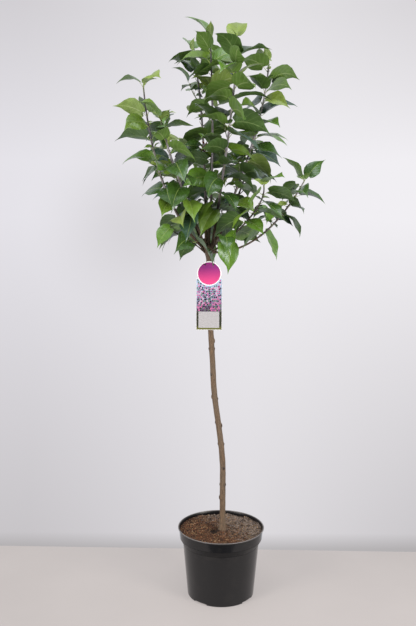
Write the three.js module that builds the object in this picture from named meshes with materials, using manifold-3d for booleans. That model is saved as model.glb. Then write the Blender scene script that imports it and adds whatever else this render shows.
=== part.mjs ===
// A young lilac grown as a standard: a bare, slightly swaying stem that swells into a rounded
// head, boughs that fan out of the head, and one leafy shoot on the end of each bough. It stands
// in a round, collared nursery pot filled with peat, and a hang tag is tied on under the head.
//
// Millimetres, +Z up. The origin is the centre of the pot's flat underside, and -Y is the front.

import * as THREE from 'three';
import { mergeVertices } from 'three/addons/utils/BufferGeometryUtils.js';
import Module from 'manifold-3d';

const wasm = await Module();
wasm.setup();

const { degToRad, lerp, smoothstep } = THREE.MathUtils;

// ---------------------------------------------------------------------------------------------
// Driving dimensions
// ---------------------------------------------------------------------------------------------

const GAP = 0.3; // between pieces that touch

// Pot: a thin moulded 12 litre container. A sloped shoulder joins its plain body to an upright
// collar, a thick lip stands out over the collar, and drain slots are notched in the foot.
const POT_SIDES = 36;
const POT_WALL = 2;
const POT_HEIGHT = 240;
const POT_RIM_RADIUS = 150;
const POT_LIP = { width: 4, drop: 3.5, round: 1.2 };
const POT_FOOT_RADIUS = 115.8;
const POT_FOOT_ROUND = 5;
const POT_BODY = { height: 185, radius: 132.5 }; // where the plain body ends
const POT_COLLAR = { height: 204, radius: 143.6 }; // foot of the collar
const POT_COLLAR_TOP = { height: 234.5, radius: 146.4 };
const SLOT_COUNT = 4;
const SLOT = { width: 52, height: 5, depth: 8 };
const SLOT_FIRST = -38; // degrees round from the front

// Peat: fills the pot to just under the rim, with a gently uneven top.
const PEAT_TOP = POT_HEIGHT - 12;
const PEAT_SWELL = 3.5;
const PEAT_LEVEL_RADIUS = 30; // level patch round the trunk's foot
const PEAT_RINGS = [94];

// Trunk: its sway is two smooth ramps, its foot flares, and old side shoots left knots.
const TRUNK_SIDES = 10;
const TRUNK_FOOT = PEAT_TOP + GAP;
const TRUNK_START_X = 5;
const TRUNK_SWAYS = [
  { by: -30, from: 430, to: 760 },
  { by: -22, from: 600, to: 1150 },
];
const TRUNK_RADIUS_LOW = 10.2;
const TRUNK_RADIUS_HIGH = 9.2;
const TRUNK_STEP = 60;
const FLARE = 5;
const FLARE_HEIGHT = 15;
const KNOTS = [
  { height: 345, turn: 200 },
  { height: 428, turn: 75 },
  { height: 602, turn: -20 },
  { height: 700, turn: 160 },
  { height: 895, turn: 20 },
];
const KNOT_RISE = 2.2;
const KNOT_HALF_HEIGHT = 9;
const HEAD = new THREE.Vector3(-47, 0, 1203);
const HEAD_RADIUS = 15.5;
const HEAD_SWELL = 37; // the swelling starts this far under the head's centre
const HEAD_DOME = 23;

// Shoots: each starts at a foot in the head, bends at an elbow and ends at a tip, all measured
// from the head's centre. Its bare length is the bough, and the rest is the leafy shoot. The
// phase turns its first pair of leaves, and the seed settles its twigs and leaves.
const SHOOTS = {
  centre_right: {
    foot: [10, -8, 6], elbow: [90, -68, 540], tip: [84, -110, 648],
    radius: 5.4, bare: 120, perk: 20, phase: 30, seed: 75,
  },
  centre: {
    foot: [-2, -2, 10], elbow: [20, -12, 325], tip: [1, -20, 671],
    radius: 4.8, bare: 130, perk: 20, phase: 60, seed: 82,
  },
  centre_left: {
    foot: [-10, 7, 8], elbow: [-14, 56, 475], tip: [-56, 90, 655],
    radius: 4.8, bare: 140, perk: 20, phase: 30, seed: 70,
  },
  left_outer: {
    foot: [-8, -2, -4], elbow: [-178, -37, 146], tip: [-211, -60, 517],
    radius: 5.0, bare: 95, perk: 20, phase: 60, seed: 2,
  },
  left_inner: {
    foot: [-9, -9, 4], elbow: [-132, -93, 300], tip: [-150, -150, 402],
    radius: 4.4, bare: 120, perk: 20, phase: 60, seed: 62,
  },
  right_inner: {
    foot: [10, 6, 4], elbow: [185, 37, 400], tip: [196, 60, 620],
    radius: 4.8, bare: 110, perk: 20, phase: 30, seed: 65,
  },
  right_front: {
    foot: [11, -9, -8], elbow: [185, -87, 132], tip: [171, -140, 205],
    radius: 3.2, bare: 110, perk: 60, phase: 30, seed: 87,
  },
  right_outer: {
    foot: [12, -1, -8], elbow: [183, -12, -12], tip: [312, -20, 228],
    radius: 3.8, bare: 175, perk: 60, phase: 30, seed: 75,
  },
  back_left: {
    foot: [-8, 9, 0], elbow: [-120, 120, 210], tip: [-165, 185, 440],
    radius: 4.4, bare: 90, perk: 20, phase: 60, seed: 27,
  },
  back_right: {
    foot: [7, 10, 0], elbow: [130, 130, 200], tip: [165, 215, 410],
    radius: 4.4, bare: 90, perk: 20, phase: 60, seed: 14,
  },
  back: {
    foot: [-1, 12, 2], elbow: [-5, 190, 90], tip: [-15, 262, 330],
    radius: 4.2, bare: 80, perk: 20, phase: 0, seed: 46,
  },
  low_left: {
    foot: [-12, -6, -10], elbow: [-60, -35, 35], tip: [-112, -60, 58],
    radius: 2.6, bare: 60, perk: 20, phase: 30, seed: 13,
  },
  low_front: {
    foot: [6, -12, -8], elbow: [30, -60, 40], tip: [52, -105, 34],
    radius: 2.6, bare: 60, perk: 20, phase: 30, seed: 4,
  },
  low_back: {
    foot: [-6, 12, -8], elbow: [-50, 90, 30], tip: [-95, 150, 75],
    radius: 3.0, bare: 60, perk: 20, phase: 30, seed: 58,
  },
};
const SHOOT_STEPS = 120; // straight steps that a shoot's curve is measured in
const SHOOT_TIP_RADIUS = 1.7;
const SHOOT_SIDES = 6;
const SHOOT_RING_STEP = 60;
const BOUGH_SIDES = 8;
const BOUGH_RING_STEP = 24;
const BOUGH_END = 12; // a bough ends this far below its shoot's first leaves
const CROWN_TOP = 1876; // where the highest shoot ends

// Growth: pairs of leaves stand crosswise up each shoot, and closer together towards its tip.
const INTERNODE = 50;
const INTERNODE_SPREAD = [0.9, 1.1];
const INTERNODE_SHRINK = { foot: 1.05, tip: 0.63 };
const LAST_INTERNODE = 20; // the least, below the pair at the tip
const NODE_SCATTER = 22; // degrees
const OUTWARD = 0.25; // share of a leaf's direction that leans away from the trunk
const OUTWARD_FULL = 150;
const SWINGS = [0, 22, -22, 44, -44]; // degrees tried in turn to clear what is in the way
const CLEAR_LEAF = 7.5;
const CLEAR_STEM = 8;
const CLEAR_TRUNK = 20.5;
const CLEAR_TAG = 9;
const SPACE = 160; // a mass reaches no further than this from its own shoot
const LEAF_SAMPLES = { along: 12, across: 9, first: 0.08, stalk: [0.4, 0.6, 0.8, 1] };

// Twigs: short side shoots at some of the lower nodes, with two pairs of smaller leaves each.
const TWIG_CHANCE = 0.22;
const TWIG_HIGHEST = 0.75; // share of the shoot
const TWIG_LENGTH = [45, 85];
const TWIG_RISE = [35, 60];
const TWIG_BEND = 0.5; // radians
const TWIG_STEPS = 16;
const TWIG_CLEAR = 20;
const TWIG_RADIUS = 1.7;
const TWIG_TIP_RADIUS = 1.2;
const TWIG_LEAF = 0.66; // size of its leaves
const TWIG_PERK = 20;

// Leaf: a folded, arching heart on a thin stalk.
const LEAF_LENGTH = 92;
const LEAF_WIDTH = 0.75; // of its length
const LEAF_THICKNESS = 0.02; // of its length, at the midrib
const LEAF_WIDEST = 0.262;
const LEAF_LOBE = 0.09; // how far the heart's lobes reach back
const LEAF_SECTIONS = [0.06, 0.3, 0.65];
const STALK_LENGTH = 22;
const STALK_RADIUS = 1.3;

// How a leaf is held: low in the crown it hangs, and high in the crown it stands out level. The
// last pair of a shoot perks up further. Angles are in degrees.
const SIZE = { ends: 0.88, middle: 0.2, spread: [0.84, 1.16] };
const HANG = { low: -58, high: 8, spread: [-26, 26] };
const LIFT = { low: 18, high: 52, spread: [-10, 10], last: 15 };
const ARCH = { spread: [30, 85], low: 0.8, high: 1.1 };
const STALK_SPREAD = [0.8, 1.2];
const ROLL_SPREAD = [-52, 52];
const FOLD_SPREAD = [14, 34];
const CURL_SPREAD = [0.05, 0.3];
const BEND_SPREAD = [-0.2, 0.2]; // sideways, of its length

// Tag: a plastic card with a round head, hung flat against the trunk by a tie round it.
const TAG_X = -45.5;
const TAG = { bottom: 934, shoulder: 1107, width: 86, thickness: 0.8, corner: 3 };
const TAG_DISC = { height: 1124.5, radius: 40.6 };
const TAG_BACK = -9.75;
const TIE_RADIUS = 1.2;
const TIE_HALF_WIDTH = 14.5;
const TIE_DEPTH = 10.9;
const TIE_HEIGHT = 1155;
const TIE_RISE = 6;
const TIE_TURNS = 12; // points of the half round behind the trunk, less one
const TIE_STEPS = 14; // straight steps of the whole loop
const STOPPER = { radius: 3, thickness: 1.4 };

// ---------------------------------------------------------------------------------------------
// Solids
// ---------------------------------------------------------------------------------------------

// A closed geometry as a solid that can be joined and cut.
function solid(geometry) {
  const plain = geometry.clone();
  plain.deleteAttribute('normal');
  plain.deleteAttribute('uv');
  const merged = mergeVertices(plain, 1e-4);
  const corners = merged.index.array;
  const kept = [];
  for (let i = 0; i < corners.length; i += 3) {
    const [a, b, c] = corners.slice(i, i + 3);
    if (a !== b && b !== c && c !== a) {
      kept.push(a, b, c);
    }
  }
  const mesh = new wasm.Mesh({
    numProp: 3,
    vertProperties: new Float32Array(merged.attributes.position.array),
    triVerts: new Uint32Array(kept),
  });
  return new wasm.Manifold(mesh);
}

// The largest piece of a solid: loose scraps and sealed hollows are dropped.
function largest(joined) {
  return joined.decompose().reduce((a, b) => (a.volume() > b.volume() ? a : b));
}

function geometryOf(joined) {
  const mesh = joined.getMesh();
  const geometry = new THREE.BufferGeometry();
  geometry.setAttribute('position', new THREE.BufferAttribute(mesh.vertProperties, 3));
  geometry.setIndex(new THREE.BufferAttribute(mesh.triVerts, 1));
  geometry.computeVertexNormals();
  return geometry;
}

// A profile of [radius, height] pairs turned round the Z axis, the first side at the front.
function turned(profile, sides) {
  const points = profile.map(([radius, height]) => new THREE.Vector2(radius, height));
  return new THREE.LatheGeometry(points, sides).rotateX(Math.PI / 2);
}

function moveVertices(geometry, move) {
  const position = geometry.attributes.position;
  const vertex = new THREE.Vector3();
  for (let i = 0; i < position.count; i += 1) {
    vertex.fromBufferAttribute(position, i);
    move(vertex);
    position.setXYZ(i, vertex.x, vertex.y, vertex.z);
  }
  return geometry;
}

// ---------------------------------------------------------------------------------------------
// Pot and peat
// ---------------------------------------------------------------------------------------------

function potOutside() {
  const taper = (POT_BODY.radius - POT_FOOT_RADIUS) / POT_BODY.height;
  const flat = POT_FOOT_RADIUS - POT_FOOT_ROUND;
  const eighth = Math.SQRT1_2;
  return [
    [flat, 0],
    [flat + POT_FOOT_ROUND * eighth, POT_FOOT_ROUND * (1 - eighth)],
    [POT_FOOT_RADIUS + taper * POT_FOOT_ROUND, POT_FOOT_ROUND],
    [POT_BODY.radius, POT_BODY.height],
    [POT_COLLAR.radius, POT_COLLAR.height],
    [POT_COLLAR_TOP.radius, POT_COLLAR_TOP.height],
    [POT_RIM_RADIUS - POT_LIP.round, POT_HEIGHT - POT_LIP.drop],
    [POT_RIM_RADIUS, POT_HEIGHT - POT_LIP.round],
    [POT_RIM_RADIUS - POT_LIP.round * (1 - eighth), POT_HEIGHT - POT_LIP.round * (1 - eighth)],
    [POT_RIM_RADIUS - POT_LIP.round, POT_HEIGHT],
  ];
}

// The pot's inner face, from its floor to the collar's top, set in by the wall and by any
// further clearance.
function potInside(clearance) {
  const inset = POT_WALL + clearance;
  const walls = potOutside().slice(2, 6).map(([radius, height]) => [radius - inset, height]);
  return [[POT_FOOT_RADIUS - POT_FOOT_ROUND - inset, inset], ...walls];
}

function makePot() {
  const lip = [POT_RIM_RADIUS - POT_LIP.width, POT_HEIGHT];
  const inside = potInside(0).reverse();
  const profile = [[0, 0], ...potOutside(), lip, ...inside, [0, POT_WALL]];
  let pot = solid(turned(profile, POT_SIDES));
  for (let i = 0; i < SLOT_COUNT; i += 1) {
    const slot = new THREE.BoxGeometry(SLOT.width, 2 * SLOT.depth, 2 * SLOT.height);
    slot.translate(0, -POT_FOOT_RADIUS, 0);
    slot.rotateZ(degToRad(SLOT_FIRST + (360 * i) / SLOT_COUNT));
    pot = pot.subtract(solid(slot));
  }
  return pot;
}

function makePeat() {
  const inside = potInside(GAP);
  const [topRadius, topHeight] = inside.pop();
  const [footRadius, footHeight] = inside.at(-1);
  const edge = lerp(footRadius, topRadius, (PEAT_TOP - footHeight) / (topHeight - footHeight));
  const rings = [edge, ...PEAT_RINGS, PEAT_LEVEL_RADIUS, 0].map((radius) => [radius, PEAT_TOP]);
  const geometry = turned([[0, POT_WALL + GAP], ...inside, ...rings], POT_SIDES);
  moveVertices(geometry, (p) => {
    const radius = Math.hypot(p.x, p.y);
    const loose = radius > PEAT_LEVEL_RADIUS + 1 && radius < edge - 1;
    if (p.z === PEAT_TOP && loose) {
      p.z -= PEAT_SWELL * (0.5 + 0.5 * Math.sin(p.x / 31 + 1) * Math.cos(p.y / 27));
    }
  });
  return solid(geometry);
}

// ---------------------------------------------------------------------------------------------
// Trunk
// ---------------------------------------------------------------------------------------------

function trunkX(height) {
  const ramps = TRUNK_SWAYS.map(({ by, from, to }) => by * smoothstep(height, from, to));
  return ramps.reduce((x, ramp) => x + ramp, TRUNK_START_X);
}

function trunkRadius(height) {
  const up = (height - TRUNK_FOOT) / (HEAD.z - TRUNK_FOOT);
  const flare = FLARE * Math.exp((TRUNK_FOOT - height) / FLARE_HEIGHT);
  const stem = lerp(TRUNK_RADIUS_LOW, TRUNK_RADIUS_HIGH, up) + flare;
  const swelling = lerp(stem, HEAD_RADIUS, smoothstep(height, HEAD.z - HEAD_SWELL, HEAD.z));
  const above = Math.max(height - HEAD.z, 0) / HEAD_DOME;
  return swelling * Math.sqrt(Math.max(1 - above * above, 0));
}

function trunkHeights() {
  const heights = [0, 6, 14, 28].map((up) => TRUNK_FOOT + up);
  for (let z = TRUNK_FOOT + TRUNK_STEP; z < HEAD.z - HEAD_SWELL; z += TRUNK_STEP) {
    if (KNOTS.every((knot) => Math.abs(knot.height - z) > 2 * KNOT_HALF_HEIGHT)) {
      heights.push(z);
    }
  }
  for (const knot of KNOTS) {
    heights.push(knot.height - KNOT_HALF_HEIGHT, knot.height, knot.height + KNOT_HALF_HEIGHT);
  }
  for (const share of [-1, -0.62, -0.3, 0, 0.35, 0.62, 0.84, 0.96]) {
    heights.push(HEAD.z + share * (share < 0 ? HEAD_SWELL : HEAD_DOME));
  }
  return heights.sort((a, b) => a - b);
}

// The trunk, or with a clearance the slightly larger trunk that is cut out of the boughs.
function makeTrunk(clearance = 0) {
  const rings = trunkHeights().map((height) => [trunkRadius(height) + clearance, height]);
  const profile = [[0, TRUNK_FOOT], ...rings, [0, HEAD.z + HEAD_DOME + clearance]];
  const geometry = turned(profile, TRUNK_SIDES);
  moveVertices(geometry, (p) => {
    const around = Math.atan2(p.y, p.x);
    for (const knot of KNOTS) {
      const off = (p.z - knot.height) / KNOT_HALF_HEIGHT;
      const facing = Math.max(Math.cos(around - degToRad(knot.turn)), 0);
      const out = Math.hypot(p.x, p.y);
      const rise = out > 0 ? KNOT_RISE * Math.exp(-2 * off * off) * facing * facing : 0;
      p.x += rise * Math.cos(around);
      p.y += rise * Math.sin(around);
    }
    p.x += trunkX(p.z);
  });
  return solid(geometry);
}

// ---------------------------------------------------------------------------------------------
// Growth rule
// ---------------------------------------------------------------------------------------------

const UP = new THREE.Vector3(0, 0, 1);

// A repeatable row of draws: each state is the last one times 16807, modulo 2^31 - 1.
class Draw {
  constructor(seed) {
    this.state = seed * 7919;
    for (let i = 0; i < 3; i += 1) {
      this.between(0, 1);
    }
  }

  between(low, high) {
    this.state = (this.state * 16807) % 2147483647;
    return low + ((high - low) * this.state) / 2147483647;
  }
}

// A curve from foot to tip that bends towards the elbow, in short straight steps.
function makeRoute(foot, elbow, tip, steps) {
  const points = new THREE.QuadraticBezierCurve3(foot, elbow, tip).getPoints(steps);
  const lengths = [0];
  for (let i = 1; i < points.length; i += 1) {
    lengths.push(lengths[i - 1] + points[i].distanceTo(points[i - 1]));
  }
  return { points, lengths, total: lengths.at(-1) };
}

function placeAlong(route, distance) {
  const { points, lengths, total } = route;
  if (distance >= total) {
    return points.at(-1).clone();
  }
  const next = Math.max(lengths.findIndex((length) => length > distance), 1);
  const share = (distance - lengths[next - 1]) / (lengths[next] - lengths[next - 1]);
  return points[next - 1].clone().lerp(points[next], share);
}

function makeShoot(name, form) {
  const place = (offset) => new THREE.Vector3(...offset).add(HEAD);
  const route = makeRoute(place(form.foot), place(form.elbow), place(form.tip), SHOOT_STEPS);
  const draw = new Draw(form.seed);
  const nodes = [];
  let distance = form.bare;
  while (distance < route.total - LAST_INTERNODE) {
    nodes.push(distance);
    const shrink = lerp(INTERNODE_SHRINK.foot, INTERNODE_SHRINK.tip, distance / route.total);
    distance += INTERNODE * shrink * draw.between(...INTERNODE_SPREAD);
  }
  nodes.push(route.total);
  const radiusAt = (along) => lerp(form.radius, SHOOT_TIP_RADIUS, along / route.total);
  const { phase, perk } = form;
  return { name, route, nodes, draw, radiusAt, form, size: 1, phase, perk, taken: new Set() };
}

// The way that a leaf or twig of a node points: crosswise from pair to pair, and a little outward.
function heading(stem, node, side, place) {
  const scatter = stem.draw.between(-NODE_SCATTER, NODE_SCATTER);
  const turn = degToRad(stem.phase + 90 * node + 180 * side + scatter);
  const outX = place.x - HEAD.x;
  const outY = place.y - HEAD.y;
  const reach = Math.hypot(outX, outY);
  const lean = (OUTWARD * Math.min(reach / OUTWARD_FULL, 1)) / Math.max(reach, 1e-6);
  return Math.atan2(
    Math.sin(turn) * (1 - OUTWARD) + outY * lean,
    Math.cos(turn) * (1 - OUTWARD) + outX * lean,
  );
}

// Whether any point of one list is nearer than the limit to any point of the other.
function nearer(points, others, limit) {
  return points.some((p) => others.some((q) => p.distanceToSquared(q) < limit * limit));
}

// A direction at a compass turn and a rise above level.
function direction(turn, rise) {
  const level = Math.cos(rise);
  return new THREE.Vector3(Math.cos(turn) * level, Math.sin(turn) * level, Math.sin(rise));
}

function makeTwigs(shoot, stems, placed) {
  const twigs = [];
  shoot.nodes.slice(0, -1).forEach((distance, node) => {
    const chance = shoot.draw.between(0, 1);
    const side = Math.floor(shoot.draw.between(0, 2));
    const foot = placeAlong(shoot.route, distance);
    const turn = heading(shoot, node, side, foot);
    const length = shoot.draw.between(...TWIG_LENGTH);
    const rise = degToRad(shoot.draw.between(...TWIG_RISE));
    if (chance > TWIG_CHANCE || distance / shoot.route.total > TWIG_HIGHEST) {
      return;
    }
    const elbow = foot.clone().addScaledVector(direction(turn, rise), length / 2);
    const tip = elbow.clone().addScaledVector(direction(turn, rise + TWIG_BEND), length / 2);
    const route = makeRoute(foot, elbow, tip, TWIG_STEPS);
    const free = route.points.slice(TWIG_STEPS / 4);
    const others = stems.filter((stem) => stem !== shoot);
    const blocked = others.some((stem) => nearer(free, stem.route.points, TWIG_CLEAR))
      || nearer(free.slice(1), shoot.route.points, CLEAR_STEM)
      || placed.some((leaf) => nearer(route.points, leaf.points, CLEAR_LEAF));
    if (blocked) {
      return;
    }
    shoot.taken.add(2 * node + side);
    const radiusAt = (along) => lerp(TWIG_RADIUS, TWIG_TIP_RADIUS, along / route.total);
    const phase = THREE.MathUtils.radToDeg(turn) + 90;
    const nodes = [route.total / 2, route.total];
    const own = { size: TWIG_LEAF, perk: TWIG_PERK, taken: new Set(), twig: true };
    twigs.push({ ...shoot, route, nodes, radiusAt, phase, ...own });
  });
  return twigs;
}

// Half the blade's width at a share of its length, 1 where it is widest.
function outline(u) {
  return (u / LEAF_WIDEST) ** 0.45 * ((1 - u) / (1 - LEAF_WIDEST)) ** 1.27;
}

// The blade's midrib arches along an arc. This is its place and its three directions at u.
function bladeFrame(leaf, u) {
  const angle = leaf.angle - leaf.arch * u;
  const bow = leaf.length / leaf.arch;
  const ahead = direction(leaf.turn, 0);
  const level = direction(leaf.turn + Math.PI / 2, 0);
  const centre = leaf.base.clone()
    .addScaledVector(ahead, bow * (Math.sin(leaf.angle) - Math.sin(angle)))
    .addScaledVector(UP, bow * (Math.cos(angle) - Math.cos(leaf.angle)))
    .addScaledVector(level, leaf.length * leaf.bend * u * u);
  const forward = direction(leaf.turn, angle);
  const normal = direction(leaf.turn, angle + Math.PI / 2);
  const [cos, sin] = [Math.cos(leaf.roll), Math.sin(leaf.roll)];
  const side = level.clone().multiplyScalar(cos).addScaledVector(normal, sin);
  const up = normal.clone().multiplyScalar(cos).addScaledVector(level, -sin);
  return { centre, forward, side, up };
}

// A place on the blade: u runs from its base to its tip, and v from edge to edge, -1 to 1. The
// halves fold up from the midrib, curl down at the edges, and lobe back at the base.
function bladePoint(leaf, u, v) {
  const { centre, forward, side, up } = bladeFrame(leaf, u);
  const half = leaf.half * outline(u);
  const out = Math.abs(v);
  return centre
    .addScaledVector(side, half * v * Math.cos(leaf.fold))
    .addScaledVector(up, half * (Math.sin(leaf.fold) * out - leaf.curl * v * v))
    .addScaledVector(forward, -LEAF_LOBE * leaf.length * out ** 1.5 * (1 - u) ** 7);
}

// Sample points of a leaf's blade and stalk, for the test of what is in its way.
function leafSamples(leaf) {
  const blade = [];
  const { along, across, first } = LEAF_SAMPLES;
  for (let i = 0; i < along; i += 1) {
    for (let j = 0; j < across; j += 1) {
      const u = lerp(first, 1, i / (along - 1));
      blade.push(bladePoint(leaf, u, lerp(-1, 1, j / (across - 1))));
    }
  }
  const stalk = LEAF_SAMPLES.stalk.map((share) => leaf.root.clone().lerp(leaf.base, share));
  const points = [...blade, ...stalk];
  const sum = points.reduce((total, p) => total.add(p), new THREE.Vector3());
  const centre = sum.divideScalar(points.length);
  const reach = Math.sqrt(Math.max(...points.map((p) => p.distanceToSquared(centre))));
  return { blade, points, centre, reach };
}

function isBlocked(samples, stem, shoot, stems, keepOuts, placed) {
  const { blade, points, centre, reach } = samples;
  const tip = blade.at(-1);
  return !nearer([tip], shoot.route.points, SPACE)
    || keepOuts.some((keepOut) => nearer(points, keepOut.points, keepOut.clear))
    || stems.some((other) => nearer(other === stem ? blade : points, other.route.points, CLEAR_STEM))
    || placed.some((other) => centre.distanceTo(other.centre) < reach + other.reach + CLEAR_LEAF
      && nearer(points, other.points, CLEAR_LEAF));
}

// The leaves of one stem. Leaves higher in the crown stand up more, and a leaf whose way is not
// clear at any of the swings is left out.
function makeLeaves(stem, shoot, stems, keepOuts, placed) {
  const { draw, route } = stem;
  const leaves = [];
  stem.nodes.forEach((distance, node) => {
    const root = placeAlong(route, distance);
    const part = stem.twig ? 0.5 : distance / route.total;
    const high = THREE.MathUtils.clamp((root.z - HEAD.z) / (CROWN_TOP - HEAD.z), 0, 1);
    const last = node === stem.nodes.length - 1;
    for (const side of [0, 1]) {
      const turn = heading(stem, node, side, root);
      const size = stem.size * (SIZE.ends + SIZE.middle * Math.sin(Math.PI * part));
      const length = LEAF_LENGTH * size * draw.between(...SIZE.spread);
      const hang = lerp(HANG.low, HANG.high, high ** 0.7) + draw.between(...HANG.spread);
      const chord = degToRad(hang + (last ? stem.perk : 0));
      const arch = degToRad(draw.between(...ARCH.spread)) * lerp(ARCH.low, ARCH.high, high);
      const raised = lerp(LIFT.low, LIFT.high, high) + draw.between(...LIFT.spread);
      const lift = degToRad(raised + (last ? LIFT.last : 0));
      const stalk = STALK_LENGTH * draw.between(...STALK_SPREAD);
      const roll = degToRad(draw.between(...ROLL_SPREAD));
      const fold = degToRad(draw.between(...FOLD_SPREAD));
      const curl = draw.between(...CURL_SPREAD);
      const bend = draw.between(...BEND_SPREAD);
      if (stem.taken.has(2 * node + side)) {
        continue;
      }
      for (const swing of SWINGS) {
        const leaf = { root, length, arch, roll, fold, curl, bend, half: (length * LEAF_WIDTH) / 2 };
        leaf.turn = turn + degToRad(swing);
        leaf.angle = chord + arch / 2;
        leaf.base = root.clone().addScaledVector(direction(leaf.turn, lift), stalk);
        const samples = leafSamples(leaf);
        if (!isBlocked(samples, stem, shoot, stems, keepOuts, placed)) {
          placed.push(samples);
          leaves.push(leaf);
          break;
        }
      }
    }
  });
  return leaves;
}

// What no leaf may touch: the top of the trunk, and the space in front of it where the tag is.
function makeKeepOuts() {
  const trunk = [];
  for (let down = -160; down < 8; down += 5) {
    trunk.push(new THREE.Vector3(HEAD.x, HEAD.y, HEAD.z + down));
  }
  const tag = [];
  for (let i = 0; i <= 10; i += 1) {
    for (let z = TAG.bottom; z < TAG_DISC.height + TAG_DISC.radius; z += 9) {
      tag.push(new THREE.Vector3(TAG_X + TAG.width * (i / 10 - 0.5), TAG_BACK, z));
    }
  }
  return [{ points: trunk, clear: CLEAR_TRUNK }, { points: tag, clear: CLEAR_TAG }];
}

function growCrown() {
  const shoots = Object.entries(SHOOTS).map(([name, form]) => makeShoot(name, form));
  const stems = [...shoots];
  const keepOuts = makeKeepOuts();
  const placed = [];
  for (const shoot of shoots) {
    shoot.twigs = makeTwigs(shoot, stems, placed);
    stems.push(...shoot.twigs);
    const own = [shoot, ...shoot.twigs];
    shoot.leaves = own.flatMap((stem) => makeLeaves(stem, shoot, stems, keepOuts, placed));
  }
  return shoots;
}

// ---------------------------------------------------------------------------------------------
// Boughs, shoots, twigs and leaves as solids
// ---------------------------------------------------------------------------------------------

// A tapering limb along part of a route: a unit cylinder whose rings are set along the curve.
// The frame is carried from ring to ring without twisting.
function makeLimb(route, from, to, radiusAt, sides, ringStep, clearance = 0) {
  const rings = Math.max(Math.round((to - from) / ringStep), 1);
  const frames = [];
  let right = new THREE.Vector3(1, 0, 0);
  for (let i = 0; i <= rings; i += 1) {
    const along = lerp(from, to, i / rings);
    const centre = placeAlong(route, along);
    const ahead = placeAlong(route, Math.min(along + 1, route.total));
    const forward = ahead.sub(placeAlong(route, Math.min(along, route.total - 1) - 1)).normalize();
    right = right.clone().addScaledVector(forward, -right.dot(forward)).normalize();
    const back = right.clone().cross(forward);
    frames.push({ centre, right, back, radius: radiusAt(along) + clearance });
  }
  const geometry = new THREE.CylinderGeometry(1, 1, 1, sides, rings);
  moveVertices(geometry, (p) => {
    const { centre, right: x, back: z, radius } = frames[Math.round((p.y + 0.5) * rings)];
    p.copy(centre.clone().addScaledVector(x, p.x * radius).addScaledVector(z, p.z * radius));
  });
  return solid(geometry);
}

// A leaf: four-cornered sections (edge, underside, edge, upper side) from the stem's middle,
// along the stalk and the blade, to the tip. The halves' diagonals match, so the skins stay apart.
function makeLeaf(leaf) {
  const thick = (leaf.length * LEAF_THICKNESS) / 2;
  const sections = [];
  for (const end of [leaf.root, leaf.base]) {
    const { side, up } = bladeFrame(leaf, 0);
    const corner = (way, by) => end.clone().addScaledVector(way, by * STALK_RADIUS);
    sections.push([corner(side, -1), corner(up, -1), corner(side, 1), corner(up, 1)]);
  }
  for (const u of LEAF_SECTIONS) {
    const { centre, up } = bladeFrame(leaf, u);
    const under = centre.clone().addScaledVector(up, -thick);
    const upper = centre.clone().addScaledVector(up, thick);
    sections.push([bladePoint(leaf, u, -1), under, bladePoint(leaf, u, 1), upper]);
  }
  const points = [...sections.flat(), bladeFrame(leaf, 1).centre];
  const triangles = [0, 3, 2, 0, 2, 1];
  for (let i = 0; i < sections.length - 1; i += 1) {
    for (let j = 0; j < 4; j += 1) {
      const [a, b] = [4 * i + j, 4 * i + ((j + 1) % 4)];
      triangles.push(...(j % 2 ? [a, b, a + 4, b, b + 4, a + 4] : [a, b, b + 4, a, b + 4, a + 4]));
    }
  }
  for (let j = 0; j < 4; j += 1) {
    const first = 4 * (sections.length - 1);
    triangles.push(first + j, first + ((j + 1) % 4), points.length - 1);
  }
  const geometry = new THREE.BufferGeometry().setFromPoints(points);
  geometry.setIndex(triangles);
  return solid(geometry);
}

// Each bough is cut clear of the trunk and of the boughs before it.
function makeBoughs(shoots) {
  let taken = makeTrunk(GAP);
  return shoots.map(({ name, route, radiusAt, form }) => {
    const to = form.bare - BOUGH_END;
    const limb = (clearance) => (
      makeLimb(route, 0, to, radiusAt, BOUGH_SIDES, BOUGH_RING_STEP, clearance)
    );
    const shape = largest(limb(0).subtract(taken));
    taken = taken.add(limb(GAP));
    return { name: `bough_${name}`, shape };
  });
}

function makeMass({ name, route, radiusAt, form, twigs, leaves }) {
  const from = form.bare - BOUGH_END + GAP;
  let mass = makeLimb(route, from, route.total, radiusAt, SHOOT_SIDES, SHOOT_RING_STEP);
  for (const twig of twigs) {
    const length = twig.route.total;
    mass = mass.add(makeLimb(twig.route, 0, length, twig.radiusAt, SHOOT_SIDES, SHOOT_RING_STEP));
  }
  for (const leaf of leaves) {
    mass = mass.add(makeLeaf(leaf));
  }
  return { name: `foliage_${name}`, shape: largest(mass) };
}

// ---------------------------------------------------------------------------------------------
// Tag and tie
// ---------------------------------------------------------------------------------------------

function makeTag() {
  const { bottom, shoulder, width, corner } = TAG;
  const half = width / 2;
  const side = Math.asin((shoulder - TAG_DISC.height) / TAG_DISC.radius);
  const outlineShape = new THREE.Shape();
  outlineShape.moveTo(-half + corner, bottom);
  outlineShape.lineTo(half - corner, bottom);
  outlineShape.lineTo(half, bottom + corner);
  outlineShape.lineTo(half, shoulder);
  outlineShape.absarc(0, TAG_DISC.height, TAG_DISC.radius, side, Math.PI - side, false);
  outlineShape.lineTo(-half, shoulder);
  outlineShape.lineTo(-half, bottom + corner);
  for (const x of [-TIE_HALF_WIDTH, TIE_HALF_WIDTH]) {
    const hole = new THREE.Path();
    hole.absarc(x, TIE_HEIGHT, TIE_RADIUS + GAP, 0, 2 * Math.PI, true);
    outlineShape.holes.push(hole);
  }
  const settings = { depth: TAG.thickness, bevelEnabled: false, curveSegments: 9 };
  const geometry = new THREE.ExtrudeGeometry(outlineShape, settings);
  geometry.rotateX(Math.PI / 2);
  geometry.translate(TAG_X, TAG_BACK, 0);
  return solid(geometry);
}

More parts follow.
